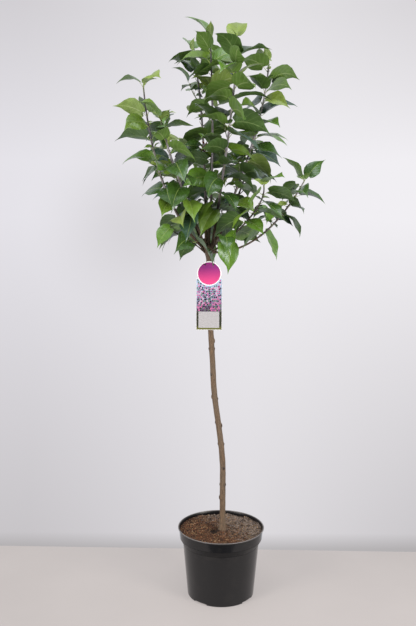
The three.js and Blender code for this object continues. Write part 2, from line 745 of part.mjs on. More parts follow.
// An elastic tie: a loop round the back of the trunk whose two ends pass through the tag's
// holes and are held there by a round stopper each.
function makeTie() {
  const front = TAG_BACK - TAG.thickness - GAP;
  const points = [new THREE.Vector3(-TIE_HALF_WIDTH, front - STOPPER.thickness / 2, 0)];
  for (let i = 0; i <= TIE_TURNS; i += 1) {
    const round = Math.PI * (1 - i / TIE_TURNS);
    const [cos, sin] = [Math.cos(round), Math.sin(round)];
    points.push(new THREE.Vector3(TIE_HALF_WIDTH * cos, TIE_DEPTH * sin, TIE_RISE * sin));
  }
  points.push(new THREE.Vector3(TIE_HALF_WIDTH, front - STOPPER.thickness / 2, 0));
  const section = new THREE.Shape().absarc(0, 0, TIE_RADIUS, 0, 2 * Math.PI, false);
  const path = new THREE.CatmullRomCurve3(points, false, 'centripetal');
  const settings = { steps: TIE_STEPS, curveSegments: 4, extrudePath: path, bevelEnabled: false };
  let tie = solid(new THREE.ExtrudeGeometry(section, settings));
  for (const x of [-TIE_HALF_WIDTH, TIE_HALF_WIDTH]) {
    const stopper = new THREE.CylinderGeometry(STOPPER.radius, STOPPER.radius, STOPPER.thickness, 8);
    stopper.translate(x, front - STOPPER.thickness / 2, 0);
    tie = tie.add(solid(stopper));
  }
  return tie.translate([TAG_X, 0, TIE_HEIGHT]);
}

// ---------------------------------------------------------------------------------------------
// Materials and the object
// ---------------------------------------------------------------------------------------------

function finish(color, roughness) {
  return new THREE.MeshStandardMaterial({ color, roughness, metalness: 0 });
}

const BLACK_PLASTIC = finish(0x2b2b2c, 0.42);
const MOIST_PEAT = finish(0x5a4334, 0.95);
const GREY_BARK = finish(0x6b5a4c, 0.85);
const YOUNG_BARK = finish(0x4f4440, 0.7);
const LILAC_LEAF = finish(0x4a7a35, 0.5);
const PRINTED_CARD = finish(0xd8d4d8, 0.35);
const BLACK_RUBBER = finish(0x1c1c1d, 0.6);

function piece(name, shape, material) {
  const mesh = new THREE.Mesh(geometryOf(shape), material);
  mesh.name = name;
  return mesh;
}

const shoots = growCrown();

const container = new THREE.Group();
container.add(piece('pot', makePot(), BLACK_PLASTIC));
container.add(piece('peat', makePeat(), MOIST_PEAT));

const plant = new THREE.Group();
plant.add(piece('trunk', makeTrunk(), GREY_BARK));
for (const bough of makeBoughs(shoots)) {
  plant.add(piece(bough.name, bough.shape, YOUNG_BARK));
}
for (const shoot of shoots) {
  const mass = makeMass(shoot);
  plant.add(piece(mass.name, mass.shape, LILAC_LEAF));
}

const label = new THREE.Group();
label.add(piece('tag', makeTag(), PRINTED_CARD));
label.add(piece('tag_tie', makeTie(), BLACK_RUBBER));

const group = new THREE.Group();
group.add(container, plant, label);

export default group;
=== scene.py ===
"""A young lilac grown as a standard in a nursery pot: how each of its pieces looks."""

import math

import bpy
import numpy as np
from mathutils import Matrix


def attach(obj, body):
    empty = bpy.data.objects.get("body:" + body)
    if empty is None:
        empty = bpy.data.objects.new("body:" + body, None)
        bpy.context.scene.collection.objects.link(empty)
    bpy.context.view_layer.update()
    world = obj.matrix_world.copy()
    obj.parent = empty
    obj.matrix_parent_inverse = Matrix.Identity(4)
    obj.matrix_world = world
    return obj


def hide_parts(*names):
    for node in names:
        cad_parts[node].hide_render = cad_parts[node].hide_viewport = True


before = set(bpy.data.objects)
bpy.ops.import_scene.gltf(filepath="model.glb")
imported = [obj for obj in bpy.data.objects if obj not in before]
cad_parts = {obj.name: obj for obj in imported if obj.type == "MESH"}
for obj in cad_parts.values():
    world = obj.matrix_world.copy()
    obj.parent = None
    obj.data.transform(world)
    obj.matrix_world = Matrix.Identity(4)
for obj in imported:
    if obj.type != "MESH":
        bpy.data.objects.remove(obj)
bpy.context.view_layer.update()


# Studio. The plant stands on a long, narrow, pale acrylic table in front of a cool white wall,
# between two tall soft boxes, with a large soft light overhead. The camera looks down a little.

TABLE_BACK = (0.445, 0.253)
TABLE_FRONT = -0.37
TABLE_HALF = 4.0
TABLE_UNDER, TABLE_TOP = -0.03, -0.0005
WALL_LEFT, WALL_RIGHT, WALL_PAINTED_SHADE, WALL_FOOT_SHADOW = "#e5e3e9", "#f1eff3", "#c5c2c5", "#a29f9f"
WALL_SHADE = (-0.095, 0.995, -0.012)
ROOM_FRONT, ROOM_BACK, ROOM_TOP = 0.07, 0.72, 0.25
CAMERA_PLACE = (-0.049, -2.578, 1.308)
CAMERA_DOWN, CAMERA_ROLL = math.radians(7.03), math.radians(0.28)
CAMERA_LENS, CAMERA_SENSOR = 44.22, 36


def linear(code):
    """Linear red, green, blue and 1 from an sRGB hex code: a channel s up to 0.04045 is divided
    by 12.92, and a higher one becomes ((s + 0.055) / 1.055) to the power 2.4."""
    s = np.array([int(code[i : i + 2], 16) for i in (1, 3, 5)]) / 255
    return (*np.where(s <= 0.04045, s / 12.92, ((s + 0.055) / 1.055) ** 2.4), 1.0)


def add(tree, kind, inputs=None, **settings):
    """Adds a node to a tree with its settings. Each input, named or numbered, gets a value, a
    hex colour or the output that is linked to it. Returns the first output that is in use."""
    made = tree.nodes.new("ShaderNode" + kind)
    for name, value in settings.items():
        setattr(made, name, value)
    for name, value in (inputs or {}).items():
        if isinstance(value, bpy.types.NodeSocket):
            tree.links.new(value, made.inputs[name])
        else:
            made.inputs[name].default_value = linear(value) if isinstance(value, str) else value
    return next((output for output in made.outputs if output.enabled), None)


def add_mesh(name, points, faces, materials, kinds=None, sharp=None):
    """One smooth-shaded object at the origin. faces is a list of arrays, each with one row of
    corner numbers per face, kinds gives each face its material, and where sharp gives each
    face a side, the edges between unlike sides are kept sharp."""
    corners = np.concatenate([rows.ravel() for rows in faces]).astype(np.int32)
    sizes = np.concatenate([np.full(len(rows), rows.shape[1]) for rows in faces])
    mesh = bpy.data.meshes.new(name)
    mesh.vertices.add(len(points))
    mesh.vertices.foreach_set("co", np.asarray(points, np.float32).ravel())
    mesh.loops.add(len(corners))
    mesh.loops.foreach_set("vertex_index", corners)
    mesh.polygons.add(len(sizes))
    starts = np.concatenate([[0], np.cumsum(sizes)[:-1]]).astype(np.int32)
    mesh.polygons.foreach_set("loop_start", starts)
    mesh.polygons.foreach_set("use_smooth", np.ones(len(sizes), bool))
    for material in materials:
        mesh.materials.append(material)
    if kinds is not None:
        mesh.polygons.foreach_set("material_index", kinds.astype(np.int32))
    mesh.update(calc_edges=True)
    if sharp is not None:
        edges = np.empty(len(corners), np.int32)
        mesh.loops.foreach_get("edge_index", edges)
        sides = np.bincount(edges, np.repeat(sharp, sizes).astype(float), len(mesh.edges))
        mixed = mesh.attributes.new("sharp_edge", "BOOLEAN", "EDGE")
        mixed.data.foreach_set("value", (sides > 0) & (sides < 2))
    made = bpy.data.objects.new(name, mesh)
    bpy.context.scene.collection.objects.link(made)
    return made


def new_material(name):
    """A new material. Returns it, its node tree, and the output that gives a point's place on
    the object, whose node is the only one in the tree so far."""
    made = bpy.data.materials.new(name)
    made.use_nodes = True
    tree = made.node_tree
    tree.nodes.clear()
    return made, tree, add(tree, "TexCoord").node.outputs["Object"]


def surface(tree, **inputs):
    """Ends a tree in one Principled shader with the given inputs, underscores for spaces."""
    named = {name.replace("_", " "): value for name, value in inputs.items()}
    shader = add(tree, "BsdfPrincipled", named)
    add(tree, "OutputMaterial", {"Surface": shader})


# Table top: satin white acrylic with faint wide stains, painted lighter near the pot as a pool
# of light, and glowing faintly with painted light so that shadows on it stay soft and pale.
table_acrylic, tree, spot = new_material("table_acrylic")
stains_and_light_pool = add(tree, "TexNoise", {"Vector": spot, "Scale": 2.2, "Detail": 3.0})
# Painted pool of light: lighter near the pot, darker further away from it.
away = add(tree, "VectorMath", {0: spot, 1: (0.03, 0.0, 0.0)}, operation="DISTANCE")
away = add(tree, "MapRange", {0: away, 1: 0.2, 2: 0.8, 3: 0.1, 4: -0.4})
stains_and_light_pool = add(tree, "Math", {0: stains_and_light_pool, 1: away}, operation="ADD")
tint = add(tree, "Mix", {0: stains_and_light_pool, 6: "#6a6665", 7: "#7e7978"}, data_type="RGBA")
# The emission is a painted glow, not a lamp, that lightens the shadows on the table.
surface(
    tree, Base_Color=tint, Roughness=0.7, Specular_IOR_Level=0.3,
    Emission_Color="#cfc8c6", Emission_Strength=0.56,
)
ends = [TABLE_FRONT, TABLE_FRONT, *TABLE_BACK[::-1]]
slab = np.array([
    (x, y, z)
    for z in (TABLE_UNDER, TABLE_TOP)
    for x, y in zip((-TABLE_HALF, TABLE_HALF, TABLE_HALF, -TABLE_HALF), ends)
])
sides = [(3, 2, 1, 0), (4, 5, 6, 7), (0, 1, 5, 4), (1, 2, 6, 5), (2, 3, 7, 6), (3, 0, 4, 7)]
table_top = add_mesh("table_top", slab, [np.array(sides)], [table_acrylic])
table_top.data.shade_flat()

# The room: the camera sees a cool white wall with painted shade on it: darker at the left, and
# darker low down and high up away from its middle, with a painted soft shadow of the crown at
# the left of it and a painted line of shadow at its foot. The plant is lit by a bright wall
# behind and beside it and a bright ceiling, and the room in front of it is dark.
world = bpy.data.worlds.new("studio")
world.use_nodes = True
tree = world.node_tree
tree.nodes.clear()
way = add(tree, "TexCoord").node.outputs["Generated"]
axes = add(tree, "SeparateXYZ", {0: way}).node.outputs
# Painted shade: the wall is darker at the left than at the right.
across = add(tree, "MapRange", {0: axes["X"], 1: -0.25, 2: 0.12})
wall = add(tree, "Mix", {0: across, 6: WALL_LEFT, 7: WALL_RIGHT}, data_type="RGBA")
# Painted shade: the wall darkens low down, high up and towards its ends.
lowest = add(tree, "MapRange", {0: axes["Z"], 1: 0.0, 2: -0.39})
upper = add(tree, "MapRange", {0: axes["Z"], 1: 0.07, 2: 0.25, 3: 0.0, 4: 0.66})
ends = add(tree, "Math", {0: lowest, 1: upper}, operation="ADD")
aside = add(tree, "Math", {0: axes["X"], 1: 0.03}, operation="SUBTRACT")
aside = add(tree, "Math", {0: aside}, operation="ABSOLUTE")
aside = add(tree, "MapRange", {0: aside, 1: 0.02, 2: 0.25, 3: 0.45, 4: 0.95})
ends = add(tree, "Math", {0: ends, 1: aside}, operation="MULTIPLY")
# Painted shadow: a soft dark spot at the left stands for the crown's shade on the wall.
shaded = add(tree, "VectorMath", {0: way, 1: WALL_SHADE}, operation="DISTANCE")
shaded = add(
    tree, "MapRange", {0: shaded, 1: 0.0, 2: 0.14, 3: 0.5, 4: 0.0},
    interpolation_type="SMOOTHSTEP",
)
# Painted shadow: a dark line where the wall meets the table.
steep = add(tree, "Math", {0: axes["Z"], 1: axes["Y"]}, operation="DIVIDE")
foot = add(tree, "MapRange", {0: steep, 1: -0.424, 2: -0.446})
ahead = add(tree, "MapRange", {0: axes["Y"], 1: 0.6, 2: 0.85, 3: 0.0, 4: 0.62})
foot = add(tree, "Math", {0: foot, 1: ahead}, operation="MULTIPLY")
for share, colour in ((ends, WALL_PAINTED_SHADE), (shaded, WALL_PAINTED_SHADE), (foot, WALL_FOOT_SHADOW)):
    wall = add(tree, "Mix", {0: share, 6: wall, 7: colour}, data_type="RGBA")
seen = add(tree, "Background", {0: wall, 1: 1.0})
behind = add(tree, "MapRange", {0: axes["Y"], 1: -0.92, 2: 0.0, 3: ROOM_FRONT, 4: ROOM_BACK})
power = add(tree, "MapRange", {0: axes["Z"], 1: 0.2, 2: 0.9, 3: 0.0, 4: ROOM_TOP})
power = add(tree, "Math", {0: behind, 1: power}, operation="ADD")
room = add(tree, "Background", {0: "#f3f5fb", 1: power})
eye = add(tree, "LightPath").node.outputs["Is Camera Ray"]
add(tree, "OutputWorld", {0: add(tree, "MixShader", {0: eye, 1: room, 2: seen})})
bpy.context.scene.world = world
bpy.context.scene.view_settings.view_transform = "Standard"


def add_soft_box(name, place, aim, width, height, watts, colour):
    """A rectangular area light at a place, turned to face the point that it is aimed at."""
    lamp = bpy.data.lights.new(name, "AREA")
    lamp.shape = "RECTANGLE"
    lamp.size, lamp.size_y, lamp.energy = width, height, watts
    lamp.color = linear(colour)[:3]
    box = bpy.data.objects.new(name, lamp)
    box.location = place
    aim = np.array(aim) - place
    box.rotation_euler = (
        math.atan2(math.hypot(aim[0], aim[1]), -aim[2]),
        0,
        math.atan2(aim[1], aim[0]) - math.pi / 2,
    )
    box.visible_camera = False
    bpy.context.scene.collection.objects.link(box)


add_soft_box("soft_box_left", (-2.2, -1.9, 1.2), (0, 0, 0.9), 1.0, 2.4, 88, "#fffaf2")
add_soft_box("soft_box_right", (2.2, -1.9, 1.2), (0, 0, 0.9), 1.0, 2.4, 92, "#fffaf2")
add_soft_box("soft_box_top", (0, -1.0, 3.6), (0, 0, 1.1), 2.2, 1.6, 40, "#fffdf8")

camera = bpy.data.objects.new("camera", bpy.data.cameras.new("camera"))
camera.data.lens = CAMERA_LENS
camera.data.sensor_width = CAMERA_SENSOR
camera.location = CAMERA_PLACE
camera.rotation_mode = "QUATERNION"
# It is rolled about its line of sight first and then tilted up about the X axis.
half_tilt = (math.pi / 2 - CAMERA_DOWN) / 2
half_roll = CAMERA_ROLL / 2
camera.rotation_quaternion = (
    math.cos(half_tilt) * math.cos(half_roll),
    math.sin(half_tilt) * math.cos(half_roll),
    -math.sin(half_tilt) * math.sin(half_roll),
    math.cos(half_tilt) * math.sin(half_roll),
)
bpy.context.scene.collection.objects.link(camera)
bpy.context.scene.camera = camera


# Pot. A black nursery container of moulded polypropylene, 2 mm thick: plain tapering body that
# widens into an upright collar, a rounded lip over it, and four drain slots in the foot.

# Radius and height of each corner of the wall, in metres.
POT_FOOT = [(0.1108, 0.0), (0.1163, 0.005)]
POT_RISE = [
    (0.1325, 0.185), (0.1436, 0.204), (0.1464, 0.2345), (0.1487, 0.2362), (0.15, 0.2382),
]
POT_INNER = [
    (0.1445, 0.2345), (0.1415, 0.204), (0.1304, 0.185), (0.1143, 0.005), (0.1088, 0.002),
]
POT_FLOOR = [(0.055, 0.0), (0.05, 0.002)]
ROUND_FOOT, ROUND_OUTSIDE, ROUND_INSIDE = 0.005, 0.0016, 0.0014
POT_TURNS = 192
SLOT_TURNS = np.radians([-38.0, 52.0, 142.0, 232.0])
SLOT_SIZE = (0.052, 0.016, 0.010)
FOOT_RADIUS = 0.1158
LIP_MIDDLE, LIP_RADIUS = (0.1481, 0.2381), 0.0019
SHOULDER = (0.1835, 0.2055)
INNER_BAND = (0.226, 0.2375)


def rounded(corners, radius, steps):
    """A profile whose inner corners are rounded: from a point the radius before each corner to
    the same after it, by (1 - t)^2 before + 2 t (1 - t) corner + t^2 after."""
    corners = np.array(corners, float)
    before, corner, after = corners[:-2], corners[1:-1], corners[2:]
    back, on = before - corner, after - corner
    back_length = np.linalg.norm(back, axis=1, keepdims=True)
    on_length = np.linalg.norm(on, axis=1, keepdims=True)
    first = corner + back / back_length * np.minimum(radius, back_length / 2.2)
    last = corner + on / on_length * np.minimum(radius, on_length / 2.2)
    t = np.linspace(0, 1, steps)[None, :, None]
    first, corner, last = first[:, None], corner[:, None], last[:, None]
    curves = (1 - t) ** 2 * first + 2 * t * (1 - t) * corner + t**2 * last
    return np.concatenate([corners[:1], curves.reshape(-1, 2), corners[-1:]])


def ring_faces(stacks, rings, sides):
    """Faces of stacks of rings that are closed by a point at each end. A stack has its rings
    one after another, then its first and last point."""
    first = (np.arange(stacks) * (rings * sides + 2))[:, None, None]
    low = first + (np.arange(rings - 1) * sides)[None, :, None]
    j = np.arange(sides)[None, None, :]
    k = (j + 1) % sides
    quads = np.stack([low + j, low + sides + j, low + sides + k, low + k], -1)
    end = first + rings * sides
    top = first + (rings - 1) * sides
    start = np.stack(np.broadcast_arrays(end, first + j, first + k), -1)
    close = np.stack(np.broadcast_arrays(end + 1, top + k, top + j), -1)
    return [quads.reshape(-1, 4), np.concatenate([start.reshape(-1, 3), close.reshape(-1, 3)])]


def turned(profile, sides):
    """Points of a profile of radius and height turned round the Z axis, clockwise from above,
    with a point on the axis under its first and over its last ring."""
    turn = -2 * np.pi * np.arange(sides) / sides
    radius, height = profile[:, :1], profile[:, 1:]
    rings = np.stack([radius * np.cos(turn), radius * np.sin(turn), height + 0 * turn], -1)
    ends = [(0, 0, profile[0, 1]), (0, 0, profile[-1, 1])]
    return np.concatenate([rings.reshape(-1, 3), ends])


def pot_material(name, specular, shine_low, shine_high):
    """Black polypropylene straight from the mould, with a fine grain, a thin film of dust in
    patches, faint upright drag marks, and a dull lip greyed in patches, partly as scuffs and
    partly as a painted highlight."""
    made, tree, spot = new_material(name)
    film = {"Vector": spot, "Scale": 22.0, "Detail": 6.0, "Roughness": 0.65}
    dust = add(tree, "TexNoise", film)
    dusty = add(tree, "MapRange", {0: dust, 1: 0.55, 2: 0.85, 3: 0.0, 4: 0.1})
    tall = add(tree, "Mapping", {0: spot, "Scale": (1, 1, 0.05)})
    marks = add(tree, "TexNoise", {"Vector": tall, "Scale": 160.0, "Detail": 2.0})
    shine = add(tree, "MapRange", {0: marks, 1: 0.3, 2: 0.7, 3: shine_low, 4: shine_high})
    tint = add(tree, "Mix", {0: dusty, 6: "#111113", 7: "#6a655f"}, data_type="RGBA")
    height = add(tree, "SeparateXYZ", {0: spot}).node.outputs["Z"]
    # Painted highlight: the lip's top is greyed in patches, as scuffs and as a line of light.
    lipped = add(tree, "MapRange", {0: height, 1: 0.2372, 2: 0.2396})
    lip_patches = add(tree, "MapRange", {0: dust, 1: 0.3, 2: 0.6, 3: 0.5})
    scuffs_and_highlight = add(tree, "Math", {0: lipped, 1: lip_patches}, operation="MULTIPLY")
    tint = add(tree, "Mix", {0: scuffs_and_highlight, 6: tint, 7: "#6f6a69"}, data_type="RGBA")
    dull = add(tree, "Math", {0: lipped, 1: 0.4, 2: shine}, operation="MULTIPLY_ADD")
    grain = add(tree, "TexNoise", {"Vector": spot, "Scale": 900.0, "Detail": 1.0})
    raised = add(tree, "Bump", {"Height": grain, "Strength": 0.05, "Distance": 0.0003})
    surface(
        tree, Base_Color=tint, Roughness=dull, IOR=1.49,
        Specular_IOR_Level=specular, Normal=raised,
    )
    return made


def applied(made):
    """Gives an object the mesh that its modifiers make, takes them off, and returns it."""
    depsgraph = bpy.context.evaluated_depsgraph_get()
    mesh = bpy.data.meshes.new_from_object(made.evaluated_get(depsgraph))
    made.modifiers.clear()
    made.data = mesh
    return mesh


# The mould was polished at the body and collar, and matt at the shoulder between them and at
# the band inside the rim.
pot_plastics = [
    pot_material("black_polypropylene", 0.5, 0.08, 0.14),
    pot_material("black_polypropylene_matt", 0.2, 0.3, 0.4),
]

turn = np.linspace(0, np.pi, 9)
lip = LIP_MIDDLE + LIP_RADIUS * np.stack([np.cos(turn), np.sin(turn)], 1)
foot = rounded([POT_FOOT[0], (FOOT_RADIUS, 0.0), POT_FOOT[1]], ROUND_FOOT, 6)
outside = rounded([POT_FOOT[1], *POT_RISE], ROUND_OUTSIDE, 5)[1:-1]
inside = rounded([lip[-1], *POT_INNER], ROUND_INSIDE, 4)[1:]
profile = np.concatenate([POT_FLOOR[:1], foot, outside, lip, inside, POT_FLOOR[1:]])
points = turned(profile, POT_TURNS)
faces = ring_faces(1, len(profile), POT_TURNS)
# Matt faces: those of the shoulder, which lie outside a line that slants up through the wall,
# and those of the band inside the rim.
middle = points[faces[0]].mean(1)
radius, height = np.hypot(middle[:, 0], middle[:, 1]), middle[:, 2]
outer = radius > 0.1315 + 0.57 * (height - 0.185)
matt = outer & (height > SHOULDER[0]) & (height < SHOULDER[1])
matt |= (radius < 0.1463) & (height > INNER_BAND[0]) & (height < INNER_BAND[1])
kinds = np.concatenate([matt, np.zeros(len(faces[1]))])
pot = add_mesh("pot_body", points, faces, pot_plastics, kinds)
for number, turn in enumerate(SLOT_TURNS):
    wide, deep, high = SLOT_SIZE
    box = np.array([(x, y, z) for z in (-1, 1) for y in (-1, 1) for x in (-1, 1)]) / 2.0
    x, y, z = (box * (wide, deep, high) + (0, -FOOT_RADIUS, 0)).T
    cos, sin = np.cos(turn), np.sin(turn)
    cut = np.stack([x * cos - y * sin, x * sin + y * cos, z], 1)
    cube = [(0, 2, 3, 1), (4, 5, 7, 6), (0, 1, 5, 4), (1, 3, 7, 5), (3, 2, 6, 7), (2, 0, 4, 6)]
    knife = add_mesh(f"slot_knife_{number}", cut, [np.array(cube)], [])
    modifier = pot.modifiers.new("slot", "BOOLEAN")
    modifier.object, modifier.operation, modifier.solver = knife, "DIFFERENCE", "EXACT"
    applied(pot)
    bpy.data.objects.remove(knife)
pot.data.set_sharp_from_angle(angle=math.radians(50))
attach(pot, "root")
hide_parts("pot")


# Peat. Moist, coarse peat filled to 12 mm under the rim: reddish where it was stirred, grey
# where it has dried, with loose crumbs and fibres on top and a hollow where the stem was set.

PEAT_TOP = 0.228
PEAT_EDGE = 0.1434
PEAT_WALLS = [
    (0.108, 0.0024), (0.1135, 0.0055), (0.1298, 0.1855), (0.1408, 0.2044), (0.1420, 0.2150),
]
PEAT_RINGS = 96
PEAT_TURNS = 220
STEM_X = 0.005
HOLLOW = (-0.024, -0.006)
CRUMBS, CRUMB_SPREAD, CRUMB_CLEAR = 1800, 0.143, 0.019
FIBRES, FIBRE_SPREAD, FIBRE_CLEAR = 4200, 0.140, 0.0175


def value_noise(points, size, seed):
    """Smooth noise from -1 to 1: a scrambled value for each corner of a cubic lattice of the
    given size, blended between the corners round a point by 3 t^2 - 2 t^3 on each axis."""
    place = np.asarray(points, float) / size
    cell = np.floor(place).astype(np.int64)
    t = place - cell
    t = t * t * (3 - 2 * t)
    total = np.zeros(place.shape[:-1])
    for corner in np.ndindex(2, 2, 2):
        at = cell + corner
        mixed = at[..., 0] * 374761393 + at[..., 1] * 668265263 + at[..., 2] * 974634777
        mixed = (mixed + seed * 1103515245) & 0xFFFFFFFF
        mixed = ((mixed ^ (mixed >> 13)) * 1274126177) & 0xFFFFFFFF
        value = ((mixed ^ (mixed >> 16)) & 0xFFFF) / 32767.5 - 1
        total += value * np.prod(np.where(corner, t, 1 - t), axis=-1)
    return total


def smoothstep(value, low, high):
    """0 below low, 1 above high and 3 t^2 - 2 t^3 between them."""
    t = np.clip((value - low) / (high - low), 0, 1)
    return t * t * (3 - 2 * t)


def peat_height(x, y):
    """The peat's top at a place: its level, less a wide swell away from the stem, less a long
    hollow beside the stem, plus lumps of three sizes and a low bank against the stem."""
    out = np.hypot(x, y)
    swell = 0.0035 * (0.5 + 0.5 * np.sin(x / 0.031 + 1) * np.cos(y / 0.027))
    swell *= np.clip((out - 0.02) / 0.02, 0, 1) * np.clip((PEAT_EDGE - out) / 0.01, 0, 1)
    hollow = 0.012 * np.exp(-(((x - HOLLOW[0]) / 0.012) ** 2) - ((y - HOLLOW[1]) / 0.020) ** 2)
    flat = np.stack([x, y, 0 * x], -1)
    lumps = 0.0034 * value_noise(flat, 0.026, 3) + 0.0020 * value_noise(flat, 0.009, 4)
    lumps += 0.0008 * value_noise(flat, 0.0024, 5)
    bank = np.exp(-(np.hypot(x - STEM_X, y) / 0.019) ** 4)
    relief = lumps * (1 - 0.8 * bank) - swell * (1 - bank) + 0.0022 * bank - 0.0008
    return PEAT_TOP - hollow + relief


def peat_tone(places, random):
    """A tone for each loose piece, 0 to 3: red pieces are likelier in front and at the left,
    grey ones behind and at the right, and tan and dark ones lie everywhere."""
    back = places[:, 0] + 0.7 * places[:, 1] + 0.05 * value_noise(places, 0.03, 9)
    dried = smoothstep(back, -0.03, 0.12)
    draw = random.random(len(places))
    tone = np.where(random.random(len(places)) < dried, 1, 0)
    return np.select([draw < 0.2, draw < 0.45], [2, 3], tone)


def peat_material(name, dark, light, size):
    """Moist peat of one shade: grains of dark and light with a rough, broken surface."""
    made, tree, spot = new_material(name)
    grains = add(tree, "TexNoise", {"Vector": spot, "Scale": 1 / size, "Detail": 4.0})
    step = add(tree, "MapRange", {0: grains, 1: 0.35, 2: 0.7})
    tint = add(tree, "Mix", {0: step, 6: dark, 7: light}, data_type="RGBA")
    raised = add(tree, "Bump", {"Height": grains, "Strength": 0.5, "Distance": 0.001})
    surface(tree, Base_Color=tint, Roughness=0.92, Normal=raised)
    return made


# Peat in bulk. Stirred peat is a red brown and dried peat a grey brown, and they meet in a
# ragged line across the pot; dark patches between the clods are painted shade, and the hollow
# is painted nearly black as shade.
peat_bulk, tree, spot = new_material("moist_peat")
axes = add(tree, "SeparateXYZ", {0: spot}).node.outputs
ragged = add(tree, "TexNoise", {"Vector": spot, "Scale": 34.0, "Detail": 5.0, "Roughness": 0.7})
back = add(tree, "Math", {0: axes["Y"], 1: 0.7, 2: axes["X"]}, operation="MULTIPLY_ADD")
drift = add(tree, "Math", {0: ragged, 1: 0.30, 2: back}, operation="MULTIPLY_ADD")
dried = add(tree, "MapRange", {0: drift, 1: 0.11, 2: 0.27})
shade = add(tree, "Mix", {0: dried, 6: "#553928", 7: "#83746a"}, data_type="RGBA")
crumbled = {"Vector": spot, "Scale": 380.0, "Detail": 5.0, "Roughness": 0.75}
grains = add(tree, "TexNoise", crumbled)
clods = add(tree, "TexNoise", {"Vector": spot, "Scale": 62.0, "Detail": 4.0})
broken = add(tree, "Math", {0: clods, 1: 0.9, 2: grains}, operation="MULTIPLY_ADD")
# Painted shade: dark patches between the clods stand for shade in the pits.
pit_shade = add(tree, "MapRange", {0: broken, 1: 0.84, 2: 1.10})
shade = add(tree, "Mix", {0: pit_shade, 6: "#241913", 7: shade}, data_type="RGBA")
# Painted shade: the hollow beside the stem is darkened nearly to black.
away = add(tree, "VectorMath", {0: spot, 1: (*HOLLOW, PEAT_TOP)}, operation="SUBTRACT")
away = add(tree, "VectorMath", {0: away, 1: (1, 0.6, 1)}, operation="MULTIPLY")
away = add(tree, "VectorMath", {0: away}, operation="LENGTH")
hollow_shade = add(tree, "MapRange", {0: away, 1: 0.009, 2: 0.021})
shade = add(tree, "Mix", {0: hollow_shade, 6: "#17100c", 7: shade}, data_type="RGBA")
raised = add(tree, "Bump", {"Height": grains, "Strength": 0.6, "Distance": 0.0015})
surface(tree, Base_Color=shade, Roughness=0.95, Specular_IOR_Level=0.25, Normal=raised)

turn = -2 * np.pi * np.arange(PEAT_TURNS) / PEAT_TURNS
walls = np.array(PEAT_WALLS)
radius = np.concatenate([walls[:, 0], np.linspace(PEAT_EDGE, 0.0012, PEAT_RINGS)])
x, y = radius[:, None] * np.cos(turn), radius[:, None] * np.sin(turn)
z = peat_height(x, y)
z[: len(walls)] = walls[:, 1:]
rings = np.stack([x, y, z], -1).reshape(-1, 3)
ends = [(0, 0, walls[0, 1]), (0, 0, peat_height(np.zeros(1), np.zeros(1))[0])]
faces = ring_faces(1, len(radius), PEAT_TURNS)
peat = add_mesh("peat_bed", np.concatenate([rings, ends]), faces, [peat_bulk])
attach(peat, "root")
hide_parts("peat")


def strewn(count, radius, clear, random):
    """Places strewn evenly over a disc, less those that are nearer than clear to the hollow."""
    out = radius * np.sqrt(random.random(count))
    turn = random.random(count) * 2 * np.pi
    x, y = out * np.cos(turn), out * np.sin(turn)
    keep = np.hypot(x - HOLLOW[0], y - HOLLOW[1]) > clear
    return x[keep], y[keep]


# Crumbs of peat and bits of bark, 1.5 to 5 mm: twelve-cornered lumps, each squashed and turned
# its own way and half sunk in the surface.
shades = [
    peat_material("peat_crumb_red", "#4d2e1d", "#96633f", 0.004),
    peat_material("peat_crumb_grey", "#5a4c43", "#a3958a", 0.004),
    peat_material("peat_crumb_tan", "#6f5640", "#b89a78", 0.004),
    peat_material("peat_crumb_dark", "#1a120e", "#33251d", 0.004),
]
random = np.random.default_rng(41)
golden = (1 + 5**0.5) / 2
lump = np.array([(0, a, b * golden) for a in (-1, 1) for b in (-1, 1)], float)
lump = np.concatenate([lump, np.roll(lump, 1, 1), np.roll(lump, 2, 1)]) / math.hypot(1, golden)
gaps = np.linalg.norm(lump[:, None] - lump[None], axis=2)
linked = (gaps > 0.1) & (gaps < 1.1)
lump_faces = np.array([
    (i, j, k) if np.linalg.det(lump[[i, j, k]]) > 0 else (i, k, j)
    for i in range(12) for j in range(i + 1, 12) for k in range(j + 1, 12)
    if linked[i, j] and linked[j, k] and linked[i, k]
])
x, y = strewn(CRUMBS, CRUMB_SPREAD, 0.012, random)
keep = np.hypot(x - STEM_X, y) > CRUMB_CLEAR
x, y = x[keep], y[keep]
size = 0.0008 + 0.0017 * random.random(len(x)) ** 2.2
squash = size[:, None] * random.uniform(0.55, 1.3, (len(x), 3))
shapes = lump[None] * squash[:, None] * random.uniform(0.7, 1.25, (len(x), 12, 1))
tilt, _ = np.linalg.qr(random.normal(size=(len(x), 3, 3)))
tilt *= np.sign(np.linalg.det(tilt))[:, None, None]
centres = np.stack([x, y, peat_height(x, y) + 0.3 * size], 1)
points = np.einsum("nij,nkj->nki", tilt, shapes) + centres[:, None]
faces = lump_faces[None] + 12 * np.arange(len(x))[:, None, None]
kinds = np.repeat(peat_tone(centres, random), len(lump_faces))
faces = [faces.reshape(-1, 3)]
crumbs = add_mesh("peat_crumbs", points.reshape(-1, 3), faces, shades, kinds)
crumbs.data.shade_flat()
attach(crumbs, "root")


def tubes(centres, radii, sides):
    """Round tubes along paths. centres has one row of points per path and radii a radius for
    each; each ring stands square to its path, and the ends close in a point."""
    ahead = np.gradient(centres, axis=1)
    ahead /= np.linalg.norm(ahead, axis=2, keepdims=True)
    aside = np.eye(3)[np.argmin(np.abs(ahead.mean(1)), axis=1)][:, None]
    right = np.cross(ahead, aside)
    right /= np.linalg.norm(right, axis=2, keepdims=True)
    up = np.cross(right, ahead)
    turn = 2 * np.pi * np.arange(sides)[:, None] / sides
    around = np.cos(turn) * right[:, :, None] + np.sin(turn) * up[:, :, None]
    rings = centres[:, :, None] + radii[:, :, None, None] * around
    paths = len(centres)
    points = np.concatenate([rings.reshape(paths, -1, 3), centres[:, :1], centres[:, -1:]], 1)
    return points.reshape(-1, 3), ring_faces(paths, centres.shape[1], sides)


